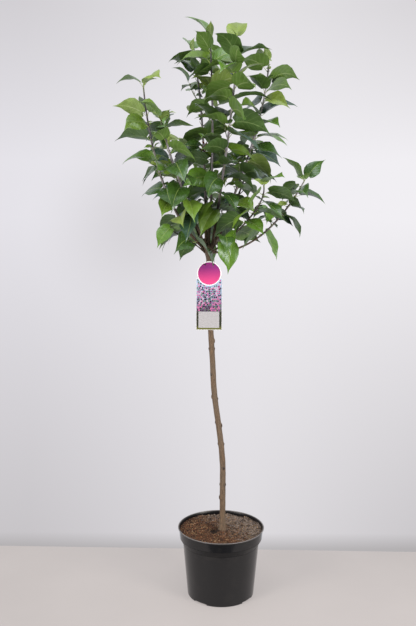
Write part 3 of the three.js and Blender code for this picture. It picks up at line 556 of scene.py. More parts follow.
# Fibres of sedge and root, 1 to 26 mm long and up to 1 mm thick, lying curved on the peat.
shades = [
    peat_material("peat_fibre_red", "#633c27", "#926546", 0.006),
    peat_material("peat_fibre_grey", "#84766c", "#b5a79d", 0.006),
    peat_material("peat_fibre_tan", "#846543", "#b3946b", 0.006),
    peat_material("peat_fibre_dark", "#2b1c14", "#4c3325", 0.006),
]
x, y = strewn(FIBRES, FIBRE_SPREAD, 0.016, random)
length = random.uniform(0.003, 0.014, len(x)) * np.clip((0.15 - np.hypot(x, y)) / 0.03, 0.3, 1)
length *= np.where(random.random(len(x)) < 0.06, 1.9, 1)
heading = random.random(len(x)) * 2 * np.pi
bend = random.normal(size=len(x)) * 0.8
t = np.linspace(-0.5, 0.5, 5)
angle = heading[:, None] + bend[:, None] * t
px = x[:, None] + length[:, None] * t * np.cos(angle)
py = y[:, None] + length[:, None] * t * np.sin(angle)
clear = (np.hypot(px, py).max(1) < 0.1445) & (np.hypot(px - STEM_X, py).min(1) > FIBRE_CLEAR)
px, py = px[clear], py[clear]
arch = random.uniform(-0.0004, 0.0012, (len(px), 1)) * np.cos(np.pi * t)
centres = np.stack([px, py, peat_height(px, py) + 0.0002 + arch], -1)
thick = random.uniform(0.00022, 0.00055, (len(px), 1)) * (1 - 1.2 * np.abs(t))
points, faces = tubes(centres, thick, 3)
tones = peat_tone(centres[:, 0], random)
kinds = np.concatenate([np.repeat(tones, rows) for rows in (len(faces[0]) // len(px), 3, 3)])
fibres = add_mesh("peat_fibres", points, faces, shades, kinds)
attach(fibres, "root")


# Growth. Shoots fan out of the stem's head along bent routes. Each carries pairs of leaves
# crosswise, closer together towards its tip, and a few short twigs with two smaller pairs each.

HEAD = np.array((-0.047, 0.0, 1.203))
CROWN_TOP = 1.876
SHOOT_STEPS, TWIG_STEPS = 120, 16
# Each shoot's foot, elbow and tip from the head, its radius at the foot and the bare length
# under its first leaves, in millimetres; how much higher its last leaves rise and the turn of
# its first pair, in degrees; and the seed of its draws.
SHOOTS = {
    "centre_right": [(10, -8, 6), (90, -68, 540), (84, -110, 648), 5.4, 120, 20, 30, 75],
    "centre": [(-2, -2, 10), (20, -12, 325), (1, -20, 671), 4.8, 130, 20, 60, 82],
    "centre_left": [(-10, 7, 8), (-14, 56, 475), (-56, 90, 655), 4.8, 140, 20, 30, 70],
    "left_outer": [(-8, -2, -4), (-178, -37, 146), (-211, -60, 517), 5.0, 95, 20, 60, 2],
    "left_inner": [(-9, -9, 4), (-132, -93, 300), (-150, -150, 402), 4.4, 120, 20, 60, 62],
    "right_inner": [(10, 6, 4), (185, 37, 400), (196, 60, 620), 4.8, 110, 20, 30, 65],
    "right_front": [(11, -9, -8), (185, -87, 132), (171, -140, 205), 3.2, 110, 60, 30, 87],
    "right_outer": [(12, -1, -8), (183, -12, -12), (312, -20, 228), 3.8, 175, 60, 30, 75],
    "back_left": [(-8, 9, 0), (-120, 120, 210), (-165, 185, 440), 4.4, 90, 20, 60, 27],
    "back_right": [(7, 10, 0), (130, 130, 200), (165, 215, 410), 4.4, 90, 20, 60, 14],
    "back": [(-1, 12, 2), (-5, 190, 90), (-15, 262, 330), 4.2, 80, 20, 0, 46],
    "low_left": [(-12, -6, -10), (-60, -35, 35), (-112, -60, 58), 2.6, 60, 20, 30, 13],
    "low_front": [(6, -12, -8), (30, -60, 40), (52, -105, 34), 2.6, 60, 20, 30, 4],
    "low_back": [(-6, 12, -8), (-50, 90, 30), (-95, 150, 75), 3.0, 60, 20, 30, 58],
}
SWINGS = (0, 22, -22, 44, -44)
CLEAR_LEAF, CLEAR_STEM, CLEAR_TRUNK, CLEAR_TAG = 0.0075, 0.008, 0.0205, 0.009
SPACE = 0.160
NODE_GAP, LAST_GAP = 0.050, 0.020
TWIG_CHANCE, TWIG_HIGHEST = 0.22, 0.75
TIP_RADIUS, TWIG_TIP_RADIUS = 0.0017, 0.0012
LEAF_LENGTH, LEAF_WIDTH, LEAF_WIDEST, LEAF_LOBE = 0.092, 0.75, 0.262, 0.09
SAMPLE_U, SAMPLE_V = np.linspace(0.08, 1, 12), np.linspace(-1, 1, 9)
SAMPLE_STALK = np.array([0.4, 0.6, 0.8, 1])[:, None]
TAG_X, TAG_BACK, TAG_WIDTH, TAG_BOTTOM = -0.0455, -0.00975, 0.086, 0.934
DISC_HEIGHT, DISC_RADIUS = 1.1245, 0.0406


class Draw:
    """A repeatable row of draws: each state is the last one times 16807, modulo 2^31 - 1."""

    def __init__(self, seed):
        self.state = seed * 7919
        for _ in range(3):
            self.between(0, 1)

    def between(self, low, high):
        self.state = self.state * 16807 % 2147483647
        return low + (high - low) * self.state / 2147483647


def lerp(low, high, share):
    """The value at a share of the way from low to high."""
    return (1 - share) * low + share * high


def direction(turn, rise):
    """The unit direction at a compass turn and a rise above level."""
    turn, rise = np.broadcast_arrays(turn, rise)
    level = np.cos(rise)
    return np.stack([np.cos(turn) * level, np.sin(turn) * level, np.sin(rise)], -1)


def route(foot, elbow, tip, steps):
    """A curve from foot to tip that bends towards the elbow, (1 - t)^2 foot + 2 t (1 - t) elbow
    + t^2 tip, in straight steps. Returns its points and the length up to each."""
    t = np.linspace(0, 1, steps + 1)[:, None]
    points = (1 - t) ** 2 * foot + 2 * t * (1 - t) * elbow + t**2 * tip
    lengths = np.cumsum(np.linalg.norm(np.diff(points, axis=0), axis=1))
    return points, np.concatenate([[0], lengths])


def along(path, distance):
    """The points at distances along a route."""
    points, lengths = path
    return np.stack([np.interp(distance, lengths, points[:, axis]) for axis in range(3)], -1)


def make_shoot(name):
    """A shoot: its route, its radii at both ends, and the distances of its leaf pairs, which
    start above its bare length."""
    foot, elbow, tip, radius, bare, perk, phase, seed = SHOOTS[name]
    path = route(*(HEAD + np.array(end) / 1000 for end in (foot, elbow, tip)), SHOOT_STEPS)
    draw, total, nodes = Draw(seed), path[1][-1], []
    distance = bare / 1000
    while distance < total - LAST_GAP:
        nodes.append(distance)
        distance += NODE_GAP * lerp(1.05, 0.63, distance / total) * draw.between(0.9, 1.1)
    return {
        "name": name, "path": path, "total": total, "nodes": [*nodes, total], "draw": draw,
        "radii": (radius / 1000, TIP_RADIUS), "bare": bare / 1000, "phase": phase, "perk": perk,
        "size": 1.0, "taken": set(), "twig": False,
    }


def each_place(stem):
    """Each leaf's place on a stem in turn: node, side, point, and if the node is the last."""
    for node, distance in enumerate(stem["nodes"]):
        for side in (0, 1):
            yield node, side, along(stem["path"], distance), node == len(stem["nodes"]) - 1


def height_share(place):
    """How high a place is in the crown: 0 at the head or below, 1 at the top or above."""
    return min(max((place[2] - HEAD[2]) / (CROWN_TOP - HEAD[2]), 0), 1)


def heading_of(stem, node, side, place):
    """The compass turn of a leaf or twig: crosswise from pair to pair, and a little outward."""
    scatter = stem["draw"].between(-22, 22)
    turn = math.radians(stem["phase"] + 90 * node + 180 * side + scatter)
    out = place[:2] - HEAD[:2]
    reach = math.hypot(*out)
    lean = 0.25 * min(reach / 0.150, 1) / max(reach, 1e-9)
    return math.atan2(
        math.sin(turn) * 0.75 + out[1] * lean, math.cos(turn) * 0.75 + out[0] * lean
    )


def nearer(points, others, limit):
    """Whether any of the points is nearer than the limit to any of the others."""
    if len(points) == 0 or len(others) == 0:
        return False
    gaps = ((points[:, None] - others[None]) ** 2).sum(-1)
    return bool(gaps.min() < limit * limit)


def make_twigs(shoot, stems, placed):
    """Short side shoots at some of the lower nodes, left out where something is in the way."""
    twigs = []
    draw = shoot["draw"]
    for node, distance in enumerate(shoot["nodes"][:-1]):
        chance = draw.between(0, 1)
        side = math.floor(draw.between(0, 2))
        foot = along(shoot["path"], distance)
        turn = heading_of(shoot, node, side, foot)
        length = draw.between(0.045, 0.085)
        rise = math.radians(draw.between(35, 60))
        if chance > TWIG_CHANCE or distance / shoot["total"] > TWIG_HIGHEST:
            continue
        elbow = foot + direction(turn, rise) * length / 2
        tip = elbow + direction(turn, rise + 0.5) * length / 2
        path = route(foot, elbow, tip, TWIG_STEPS)
        points = path[0]
        others = np.concatenate([stem["path"][0] for stem in stems if stem is not shoot])
        blocked = (
            nearer(points[4:], others, 0.020)
            or nearer(points[5:], shoot["path"][0], CLEAR_STEM)
            or any(nearer(points, leaf["points"], CLEAR_LEAF) for leaf in placed)
        )
        if blocked:
            continue
        shoot["taken"].add(2 * node + side)
        total = path[1][-1]
        twigs.append({
            **shoot, "path": path, "total": total, "nodes": [total / 2, total],
            "radii": (TIP_RADIUS, TWIG_TIP_RADIUS), "phase": math.degrees(turn) + 90,
            "perk": 20, "size": 0.66, "taken": set(), "twig": True,
        })
    return twigs


def outline(u):
    """Half a blade's width at a share u of its length, 1 at its widest: u to the power 0.45
    times (1 - u) to the power 1.27, each over its value at the widest place."""
    return (u / LEAF_WIDEST) ** 0.45 * ((1 - u) / (1 - LEAF_WIDEST)) ** 1.27


def blade_frame(leaf, u):
    """The midrib's places and its three directions at shares u. It arches along an arc, from
    the leaf's angle down by its arch, and strays sideways by the square of u."""
    angle = leaf["angle"][:, None] - leaf["arch"][:, None] * u
    bow = (leaf["length"] / leaf["arch"])[:, None]
    start, turn = leaf["angle"][:, None], leaf["turn"][:, None]
    ahead, level = direction(turn, 0.0), direction(turn + np.pi / 2, 0.0)
    centre = leaf["base"][:, None] + ahead * (bow * (np.sin(start) - np.sin(angle)))[..., None]
    centre = centre + level * ((leaf["length"] * leaf["bend"])[:, None] * u * u)[..., None]
    centre[..., 2] += bow * (np.cos(angle) - np.cos(start))
    forward, normal = direction(turn, angle), direction(turn, angle + np.pi / 2)
    cos, sin = np.cos(leaf["roll"])[:, None, None], np.sin(leaf["roll"])[:, None, None]
    return centre, forward, level * cos + normal * sin, normal * cos - level * sin


def blade_points(leaf, u, v):
    """Places on blades at shares u along and v across, -1 to 1. The halves fold up from the
    midrib, curl down at the edges, and lobe back at the base."""
    centre, forward, side, up = (a[:, :, None] for a in blade_frame(leaf, u))
    half = (leaf["half"][:, None] * outline(u))[:, :, None, None]
    out, v = np.abs(v)[None, None, :, None], v[None, None, :, None]
    fold, curl = leaf["fold"][:, None, None, None], leaf["curl"][:, None, None, None]
    lobe = LEAF_LOBE * leaf["length"][:, None, None, None] * out**1.5
    lobe = lobe * (1 - u[None, :, None, None]) ** 7
    flat = centre + side * half * v * np.cos(fold) - forward * lobe
    return flat + up * half * (np.sin(fold) * out - curl * v * v)


def stacked(leaves):
    """A list of leaves as one set of arrays, a row for each leaf."""
    keys = "root base turn angle arch length half roll fold curl bend high tint wave".split()
    return {key: np.array([leaf[key] for leaf in leaves], float) for key in keys}


def leaf_samples(leaf):
    """Sample points of one leaf's blade and stalk, for the test of what is in its way."""
    grid = blade_points(stacked([leaf]), SAMPLE_U, SAMPLE_V)[0].reshape(-1, 3)
    stalk = leaf["root"] + (leaf["base"] - leaf["root"]) * SAMPLE_STALK
    points = np.concatenate([grid, stalk])
    centre = points.mean(0)
    reach = np.linalg.norm(points - centre, axis=1).max()
    return {"blade": grid, "points": points, "centre": centre, "reach": reach}


def is_blocked(samples, stem, shoot, stems, placed, ease=1.0):
    """Whether a leaf strays from its shoot's space or comes too near the trunk, the tag, a
    stem or another leaf. A small leaf is eased in closer."""
    points, centre, reach = samples["points"], samples["centre"], samples["reach"]
    if not nearer(samples["blade"][-1:], shoot["path"][0], SPACE):
        return True
    for others, clear in KEEP_OUTS:
        if nearer(points, others, clear):
            return True
    for other in stems:
        line = other["path"][0]
        close = line[((line - centre) ** 2).sum(1) < (reach + CLEAR_STEM) ** 2]
        if nearer(samples["blade"] if other is stem else points, close, CLEAR_STEM * ease):
            return True
    for other in placed:
        gap = math.dist(centre, other["centre"])
        if gap < reach + other["reach"] + CLEAR_LEAF:
            if nearer(points, other["points"], CLEAR_LEAF * ease):
                return True
    return False


def make_leaf(draw, root, turn, high, length, last, perk):
    """Draws how one leaf is held: hanging low in the crown and level near its top."""
    hang = lerp(-58, 8, high**0.7) + draw.between(-26, 26)
    chord = math.radians(hang + (perk if last else 0))
    arch = math.radians(draw.between(30, 85)) * lerp(0.8, 1.1, high)
    lift = math.radians(lerp(18, 52, high) + draw.between(-10, 10) + (15 if last else 0))
    return {
        "root": root, "turn": turn, "high": high, "length": length, "arch": arch,
        "angle": chord + arch / 2, "lift": lift, "stalk": 0.022 * draw.between(0.8, 1.2),
        "roll": math.radians(draw.between(-52, 52)), "fold": math.radians(draw.between(14, 34)),
        "curl": draw.between(0.05, 0.3), "bend": draw.between(-0.2, 0.2),
        "half": length * LEAF_WIDTH / 2, "tint": 0.0, "wave": 0.0,
    }


def settle(leaf, stem, shoot, stems, placed, swings=SWINGS, ease=1.0):
    """Tries a leaf at each swing in turn and keeps the first that is clear. Returns whether
    one was."""
    turn = leaf["turn"]
    for swing in swings:
        leaf["turn"] = turn + math.radians(swing)
        leaf["base"] = leaf["root"] + direction(leaf["turn"], leaf["lift"]) * leaf["stalk"]
        samples = leaf_samples(leaf)
        if not is_blocked(samples, stem, shoot, stems, placed, ease):
            placed.append(samples)
            return True
    return False


def make_leaves(stem, shoot, stems, placed):
    """The leaves of one stem, without those whose way is not clear at any of the swings."""
    draw, total = stem["draw"], stem["total"]
    leaves = []
    for node, side, root, last in each_place(stem):
        part = 0.5 if stem["twig"] else stem["nodes"][node] / total
        turn = heading_of(stem, node, side, root)
        size = stem["size"] * (0.88 + 0.2 * math.sin(math.pi * part))
        length = LEAF_LENGTH * size * draw.between(0.84, 1.16)
        leaf = make_leaf(draw, root, turn, height_share(root), length, last, stem["perk"])
        free = 2 * node + side not in stem["taken"]
        if free and settle(leaf, stem, shoot, stems, placed):
            leaves.append(leaf)
    return leaves


trunk_line = [(HEAD[0], HEAD[1], HEAD[2] + down) for down in np.arange(-0.160, 0.0079, 0.005)]
tag_grid = [
    (TAG_X + TAG_WIDTH * (i / 10 - 0.5), TAG_BACK, z)
    for i in range(11)
    for z in np.arange(TAG_BOTTOM, DISC_HEIGHT + DISC_RADIUS, 0.009)
]
KEEP_OUTS = [(np.array(trunk_line), CLEAR_TRUNK), (np.array(tag_grid), CLEAR_TAG)]
shoots = [make_shoot(name) for name in SHOOTS]
stems = list(shoots)
placed = []
for shoot in shoots:
    shoot["twigs"] = make_twigs(shoot, stems, placed)
    stems.extend(shoot["twigs"])
    shoot["leaves"] = []
    for stem in [shoot, *shoot["twigs"]]:
        shoot["leaves"] += make_leaves(stem, shoot, stems, placed)


# Fine growth. Every tip ends in a pair of young leaves that are still folded, and in some leaf
# axils a spur of 6 to 20 mm has started a pair of its own. Both keep clear as the leaves do.

SPUR_CHANCE = 0.34
SPUR_REACH = (0.006, 0.020)
YOUNG_LENGTH = (0.016, 0.034)
SPUR_SWINGS, SPUR_EASE, SPUR_TINT = (0, 25, -25, 50, -50), 0.5, 0.35
TIP_SWINGS, TIP_EASE, TIP_TINT = (0, 30, -30), 0.25, 0.9

for shoot in shoots:
    draw = Draw(SHOOTS[shoot["name"]][-1] + 500)
    shoot["spurs"] = []
    for stem in [shoot, *shoot["twigs"]]:
        for node, side, root, last in each_place(stem):
            chance = draw.between(0, 1)
            turn = heading_of({**stem, "draw": draw}, node, side, root)
            reach = draw.between(*SPUR_REACH)
            small = draw.between(*YOUNG_LENGTH)
            high = height_share(root)
            if last:
                tip = root + (0, 0, 0.002)
                young = make_leaf(draw, tip, turn + math.pi / 2, high, 1.6 * small, True, 50)
                young["tint"] = TIP_TINT
                young["half"] *= 0.8
                young["stalk"] *= 0.35
                if settle(young, stem, shoot, stems, placed, TIP_SWINGS, TIP_EASE):
                    shoot["leaves"].append(young)
            elif chance < SPUR_CHANCE:
                end = root + direction(turn, 0.9) * reach
                pair = []
                for around in (turn + math.pi / 2, turn + math.pi / 2 + math.pi):
                    size = small * (1.5 - 0.9 * high)
                    leaf = make_leaf(draw, end, around, high, size, True, 30)
                    leaf["stalk"] *= 0.4
                    leaf["tint"] = SPUR_TINT
                    if settle(leaf, stem, shoot, stems, placed, SPUR_SWINGS, SPUR_EASE):
                        pair.append(leaf)
                if pair:
                    shoot["spurs"].append((root, end))
                    shoot["leaves"] += pair


# Trunk and boughs. One stem with a slight sway, its foot flared and its head swollen where
# years of pruning made the crown spring from one place; boughs leave the head like fingers.

TRUNK_FOOT = 0.2283
TRUNK_RADII, HEAD_RADIUS = (0.0102, 0.0092), 0.0155
FLARE, FLARE_FADE = 0.005, 0.015
SWELLING, DOME = 0.037, 0.023
TRUNK_SWAYS = [(-0.030, 0.430, 0.760), (-0.022, 0.600, 1.150)]
# Height in metres and turn in degrees of each knot and bud scar.
KNOTS = [(0.345, 200), (0.428, 75), (0.602, -20), (0.700, 160), (0.895, 20)]
BUD_SCARS = [
    (0.391, -15), (0.391, 170), (0.451, -70), (0.535, 0), (0.535, 178), (0.611, 185),
    (0.695, 5), (0.780, 218), (0.780, 40), (0.868, 186), (0.868, 2), (1.000, 200), (1.090, -40),
]
KNOT_RISE = 0.0022
BOUGH_SHORT = 0.012
BARK_VOXEL = 0.0013


def trunk_x(height):
    """The trunk's middle at a height. Each sway moves it smoothly to the left, by a distance,
    between two heights."""
    return STEM_X + sum(by * smoothstep(height, low, high) for by, low, high in TRUNK_SWAYS)


def trunk_radius(height):
    """A straight taper, a flare that fades over 15 mm at the foot, and a swelling at the head
    that closes in a dome 23 mm high."""
    up = (height - TRUNK_FOOT) / (HEAD[2] - TRUNK_FOOT)
    stem = lerp(*TRUNK_RADII, up) + FLARE * np.exp((TRUNK_FOOT - height) / FLARE_FADE)
    swelling = lerp(stem, HEAD_RADIUS, smoothstep(height, HEAD[2] - SWELLING, HEAD[2]))
    above = np.maximum(height - HEAD[2], 0) / DOME
    return swelling * np.sqrt(np.maximum(1 - above**2, 0))


def stem_radius(stem, distance):
    """A stem's radius at a distance along it, tapering straight from foot to tip."""
    return lerp(*stem["radii"], distance / stem["total"])


def merged(parts):
    """Parts, each of points and faces, as one: every part's corner numbers are raised by the
    count of the points before it."""
    starts = np.cumsum([0] + [len(points) for points, _ in parts])
    faces = [rows + start for (_, part), start in zip(parts, starts) for rows in part]
    return np.concatenate([points for points, _ in parts]), faces


height = np.concatenate([
    np.linspace(TRUNK_FOOT, 1.16, 420), np.linspace(1.162, HEAD[2] + 0.0228, 50)
])
centres = np.stack([trunk_x(height), 0 * height, height], -1)
points, faces = tubes(centres[None], trunk_radius(height)[None], 48)
out = points - np.stack([trunk_x(points[:, 2]), 0 * points[:, 0], points[:, 2]], -1)
around = np.arctan2(out[:, 1], out[:, 0])
for knot, turn in KNOTS:
    off = (points[:, 2] - knot) / 0.009
    facing = np.maximum(np.cos(around - math.radians(turn)), 0) ** 2
    rise = KNOT_RISE * np.exp(-2 * off**2) * facing * (np.hypot(out[:, 0], out[:, 1]) > 0.001)
    points[:, 0] += rise * np.cos(around)
    points[:, 1] += rise * np.sin(around)
parts = [(points, faces)]
for shoot in shoots:
    distance = np.linspace(0, shoot["bare"] - BOUGH_SHORT, 70)
    radius = stem_radius(shoot, distance) * (1 + 0.35 * np.exp(-distance / 0.012))
    parts.append(tubes(along(shoot["path"], distance)[None], radius[None], 24))

# Lilac bark, three to five years old: thin and smooth, grey brown with fine upright furrows,
# pale corky pores, dark scars at the knots, and darker and redder where the crown begins.
bark, tree, spot = new_material("lilac_bark")
tall = add(tree, "Mapping", {0: spot, "Scale": (1, 1, 0.12)})
fine = {"Vector": tall, "Scale": 420.0, "Detail": 5.0, "Roughness": 0.6}
furrow = add(tree, "TexNoise", fine)
streak = add(tree, "MapRange", {0: furrow, 1: 0.33, 2: 0.68})
shade = add(tree, "Mix", {0: streak, 6: "#35291f", 7: "#745c46"}, data_type="RGBA")
patch = add(tree, "TexNoise", {"Vector": tall, "Scale": 70.0, "Detail": 3.0})
cloud = add(tree, "MapRange", {0: patch, 1: 0.4, 2: 0.65, 4: 0.6})
flat = add(tree, "Mapping", {0: spot, "Scale": (1, 1, 2.6)})
pore = add(tree, "TexVoronoi", {"Vector": flat, "Scale": 230.0, "Randomness": 1.0})
cork = add(tree, "MapRange", {0: pore, 1: 0.16, 2: 0.3, 3: 0.75, 4: 0.0})
# Darker towards the head, over the 160 mm below it.
below_crown = add(tree, "Attribute", attribute_name="crown_dark").node.outputs["Fac"]
scar = add(tree, "Attribute", attribute_name="scar").node.outputs["Fac"]
for share, colour in (
    (cloud, "#5f5244"), (cork, "#8b765e"), (below_crown, "#46372b"), (scar, "#2a1e16")
):
    shade = add(tree, "Mix", {0: share, 6: shade, 7: colour}, data_type="RGBA")
relief = add(tree, "Math", {0: cork, 1: 0.6, 2: furrow}, operation="MULTIPLY_ADD")
raised = add(tree, "Bump", {"Height": relief, "Strength": 0.55, "Distance": 0.0006})
surface(tree, Base_Color=shade, Roughness=0.78, Normal=raised)

wood = add_mesh("trunk_and_boughs", *merged(parts), [bark])
remesh = wood.modifiers.new("fuse", "REMESH")
remesh.mode, remesh.voxel_size, remesh.use_smooth_shade = "VOXEL", BARK_VOXEL, True
fused = applied(wood)
points, outward = np.empty((2, len(fused.vertices), 3), np.float32)
fused.vertices.foreach_get("co", points.ravel())
fused.vertices.foreach_get("normal", outward.ravel())
points = points.astype(float)
grain = points * (1, 1, 0.14)
relief = 0.00022 * value_noise(grain, 0.0035, 21) + 0.00030 * value_noise(grain, 0.009, 22)
relief += 0.00030 * value_noise(points, 0.020, 23)
scar = np.zeros(len(points))
for place, turn in [*KNOTS, *BUD_SCARS]:
    grown = (place, turn) in KNOTS
    turn = math.radians(turn)
    reach = trunk_radius(place) + (KNOT_RISE if grown else 0.0)
    eye = (trunk_x(place) + reach * math.cos(turn), reach * math.sin(turn), place)
    gap = np.linalg.norm((points - eye) * (1, 1, 0.8), axis=1)
    if grown:
        relief += 0.0012 * np.exp(-(((gap - 0.0045) / 0.0018) ** 2))
        relief -= 0.0012 * np.exp(-((gap / 0.0024) ** 2))
    else:
        relief += 0.0019 * np.exp(-((gap / 0.0034) ** 2))
    scar = np.maximum(scar, np.exp(-((gap / 0.0048) ** 4)))
relief *= smoothstep(points[:, 2], TRUNK_FOOT, TRUNK_FOOT + 0.003)
raised = points + outward * relief[:, None]
fused.vertices.foreach_set("co", raised.astype(np.float32).ravel())
uneven = 0.8 + 0.2 * value_noise(points, 0.02, 25)
dark = 0.8 * smoothstep(points[:, 2], HEAD[2] - 0.16, HEAD[2]) * uneven
for name, values in (("crown_dark", dark), ("scar", scar)):
    marked = fused.attributes.new(name, "FLOAT", "POINT")
    marked.data.foreach_set("value", values.astype(np.float32))
fused.materials.clear()
fused.materials.append(bark)
fused.shade_smooth()
fused.update()
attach(wood, "root")
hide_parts("trunk", *(f"bough_{name}" for name in SHOOTS))


# Shoots. This and last year's wood above each bough, with its twigs and spurs: slender, a
# little swollen at each pair of leaves, purple brown with a grey bloom, and greener at the tip.

STEM_STEP = 0.004
SHOOT_LAP = 0.0025
BUD_LENGTH, BUD_RADIUS = 0.0055, 0.0017
SPUR_RADIUS = 0.0009

# Young bark: smooth and thin, so it shines a little; a waxy bloom greys it in patches, least on
# the newest wood and on the left shoots, and tiny pale pores dot it.
young_bark, tree, spot = new_material("young_lilac_bark")
tall = add(tree, "Mapping", {0: spot, "Scale": (1, 1, 0.2)})
bloom = add(tree, "TexNoise", {"Vector": tall, "Scale": 90.0, "Detail": 4.0})
waxy = add(tree, "MapRange", {0: bloom, 1: 0.35, 2: 0.65})
axes = add(tree, "SeparateXYZ", {0: spot}).node.outputs
lifted = add(tree, "Math", {0: axes["X"], 1: -0.8, 2: axes["Z"]}, operation="MULTIPLY_ADD")
upper = add(tree, "MapRange", {0: lifted, 1: 1.65, 2: 1.75})
bare = add(tree, "Mix", {0: upper, 6: "#6a6066", 7: "#241c23"}, data_type="RGBA")
wax = add(tree, "Mix", {0: upper, 6: "#aaa3b0", 7: "#4c4550"}, data_type="RGBA")
shade = add(tree, "Mix", {0: waxy, 6: bare, 7: wax}, data_type="RGBA")
low = add(tree, "MapRange", {0: axes["Z"], 1: 1.36, 2: 1.50, 3: 0.9, 4: 0.0})
green = add(tree, "Attribute", attribute_name="green").node.outputs["Fac"]
pore = add(tree, "TexVoronoi", {"Vector": spot, "Scale": 420.0})
cork = add(tree, "MapRange", {0: pore, 1: 0.15, 2: 0.28, 3: 0.6, 4: 0.0})
for share, colour in ((low, "#3b2f29"), (green, "#6d7d3c"), (cork, "#a89c8c")):
    shade = add(tree, "Mix", {0: share, 6: shade, 7: colour}, data_type="RGBA")
raised = add(tree, "Bump", {"Height": bloom, "Strength": 0.3, "Distance": 0.0004})
surface(tree, Base_Color=shade, Roughness=0.5, Normal=raised)

# Buds: plump, pointed, and covered with green scales that brown at the edge.
bud_scale, tree, spot = new_material("bud_scales")
scales = add(tree, "TexNoise", {"Vector": spot, "Scale": 500.0, "Detail": 2.0})
edge = add(tree, "MapRange", {0: scales, 1: 0.45, 2: 0.6})
shade = add(tree, "Mix", {0: edge, 6: "#66733a", 7: "#5a4030"}, data_type="RGBA")
surface(tree, Base_Color=shade, Roughness=0.45)


def stem_tube(stem, start, sides):
    """A stem from a distance to its tip, swollen by a fifth over 3 mm at each pair of leaves. A
    shoot keeps 0.6 mm more than its taper higher up. Returns its points, faces and how green
    each point is."""
    count = max(int((stem["total"] - start) / STEM_STEP), 6)
    distance = np.linspace(start, stem["total"], count)
    nodes = np.array(stem["nodes"])[:, None]
    swelling = np.exp(-(((distance - nodes) / 0.003) ** 2)).sum(0)
    radius = stem_radius(stem, distance) * (1 + 0.2 * swelling)
    if not stem["twig"]:
        radius += 0.0006 * smoothstep(distance / stem["total"], 0.2, 0.8)
    radius[0] *= 0.88
    points, faces = tubes(along(stem["path"], distance)[None], radius[None], sides)
    fresh = 0.4 * smoothstep(distance / stem["total"], 0.94, 1.0) + 0.2 * swelling
    if stem["twig"]:
        fresh = 0.35 + 0.4 * distance / stem["total"]
    return points, faces, np.concatenate([np.repeat(fresh, sides), fresh[:1], fresh[-1:]])


for shoot in shoots:
    parts = [stem_tube(shoot, shoot["bare"] - BOUGH_SHORT - SHOOT_LAP, 12)]
    parts += [stem_tube(twig, 0.0, 8) for twig in shoot["twigs"]]
    if shoot["spurs"]:
        ends = np.array(shoot["spurs"])
        t = np.linspace(0, 1, 5)[None, :, None]
        lines = lerp(ends[:, :1], ends[:, 1:], t)
        points, faces = tubes(lines, np.full(lines.shape[:2], SPUR_RADIUS), 6)
        parts.append((points, faces, np.full(len(points), 0.7)))
    buds, leans = [], []
    for stem in [shoot, *shoot["twigs"]]:
        for node, side, place, last in each_place(stem):
            turn = math.radians(stem["phase"] + 90 * node + 180 * side)
            away = direction(turn, 0.0)
            off = 0.8 * stem_radius(stem, stem["nodes"][node])
            buds.append(place + away * off + (0, 0, 0.001))
            leans.append(away * (0.2 if last else 0.45) + (0, 0, 1.0))
    buds, leans = np.array(buds), np.array(leans)
    leans /= np.linalg.norm(leans, axis=1, keepdims=True)
    t = np.linspace(0, 1, 6)
    lines = buds[:, None] + leans[:, None] * (t * BUD_LENGTH)[None, :, None]
    plump = BUD_RADIUS * np.sin(np.pi * (0.16 + 0.84 * t)) ** 0.8 * (1 - 0.3 * t)
    points, faces = tubes(lines, np.repeat(plump[None], len(buds), 0), 6)
    parts.append((points, faces, np.zeros(len(points))))
    kinds = [np.full(len(rows), part is parts[-1]) for part in parts for rows in part[1]]
    made = add_mesh(
        f"stems_{shoot['name']}", *merged([part[:2] for part in parts]),
        [young_bark, bud_scale], np.concatenate(kinds),
    )
    green = made.data.attributes.new("green", "FLOAT", "POINT")
    fresh = np.concatenate([part[2] for part in parts])
    green.data.foreach_set("value", fresh.astype(np.float32))
    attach(made, "root")
    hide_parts(f"foliage_{shoot['name']}")


# Old flower stalk. The dry brown remains of last year's bloom by one shoot: a thin stalk with
# pointed woody capsules all round it, rust above and nearly black below.

STALK_FOOT = np.array((-0.0745, 0.049, 1.512))
STALK_TIP = np.array((-0.0585, 0.047, 1.556))
STALK_RADIUS = 0.0013
CAPSULES = 14
CAPSULE_LENGTH, CAPSULE_RADIUS = 0.016, 0.0028

# Dry seed capsules: thin woody husks, matt, with lengthwise creases.
husk, tree, spot = new_material("dry_husk")
height = add(tree, "SeparateXYZ", {0: spot}).node.outputs["Z"]
crease = add(tree, "TexNoise", {"Vector": spot, "Scale": 600.0, "Detail": 3.0})
rust = add(tree, "MapRange", {0: height, 1: 1.524, 2: 1.541})
shade = add(tree, "Mix", {0: rust, 6: "#1d1412", 7: "#8a4428"}, data_type="RGBA")
worn = add(tree, "MapRange", {0: crease, 1: 0.35, 2: 0.65, 3: 0.6, 4: 1.25})
shade = add(tree, "VectorMath", {0: shade, 3: worn}, operation="SCALE")
raised = add(tree, "Bump", {"Height": crease, "Strength": 0.5, "Distance": 0.0004})
surface(tree, Base_Color=shade, Roughness=0.8, Normal=raised)

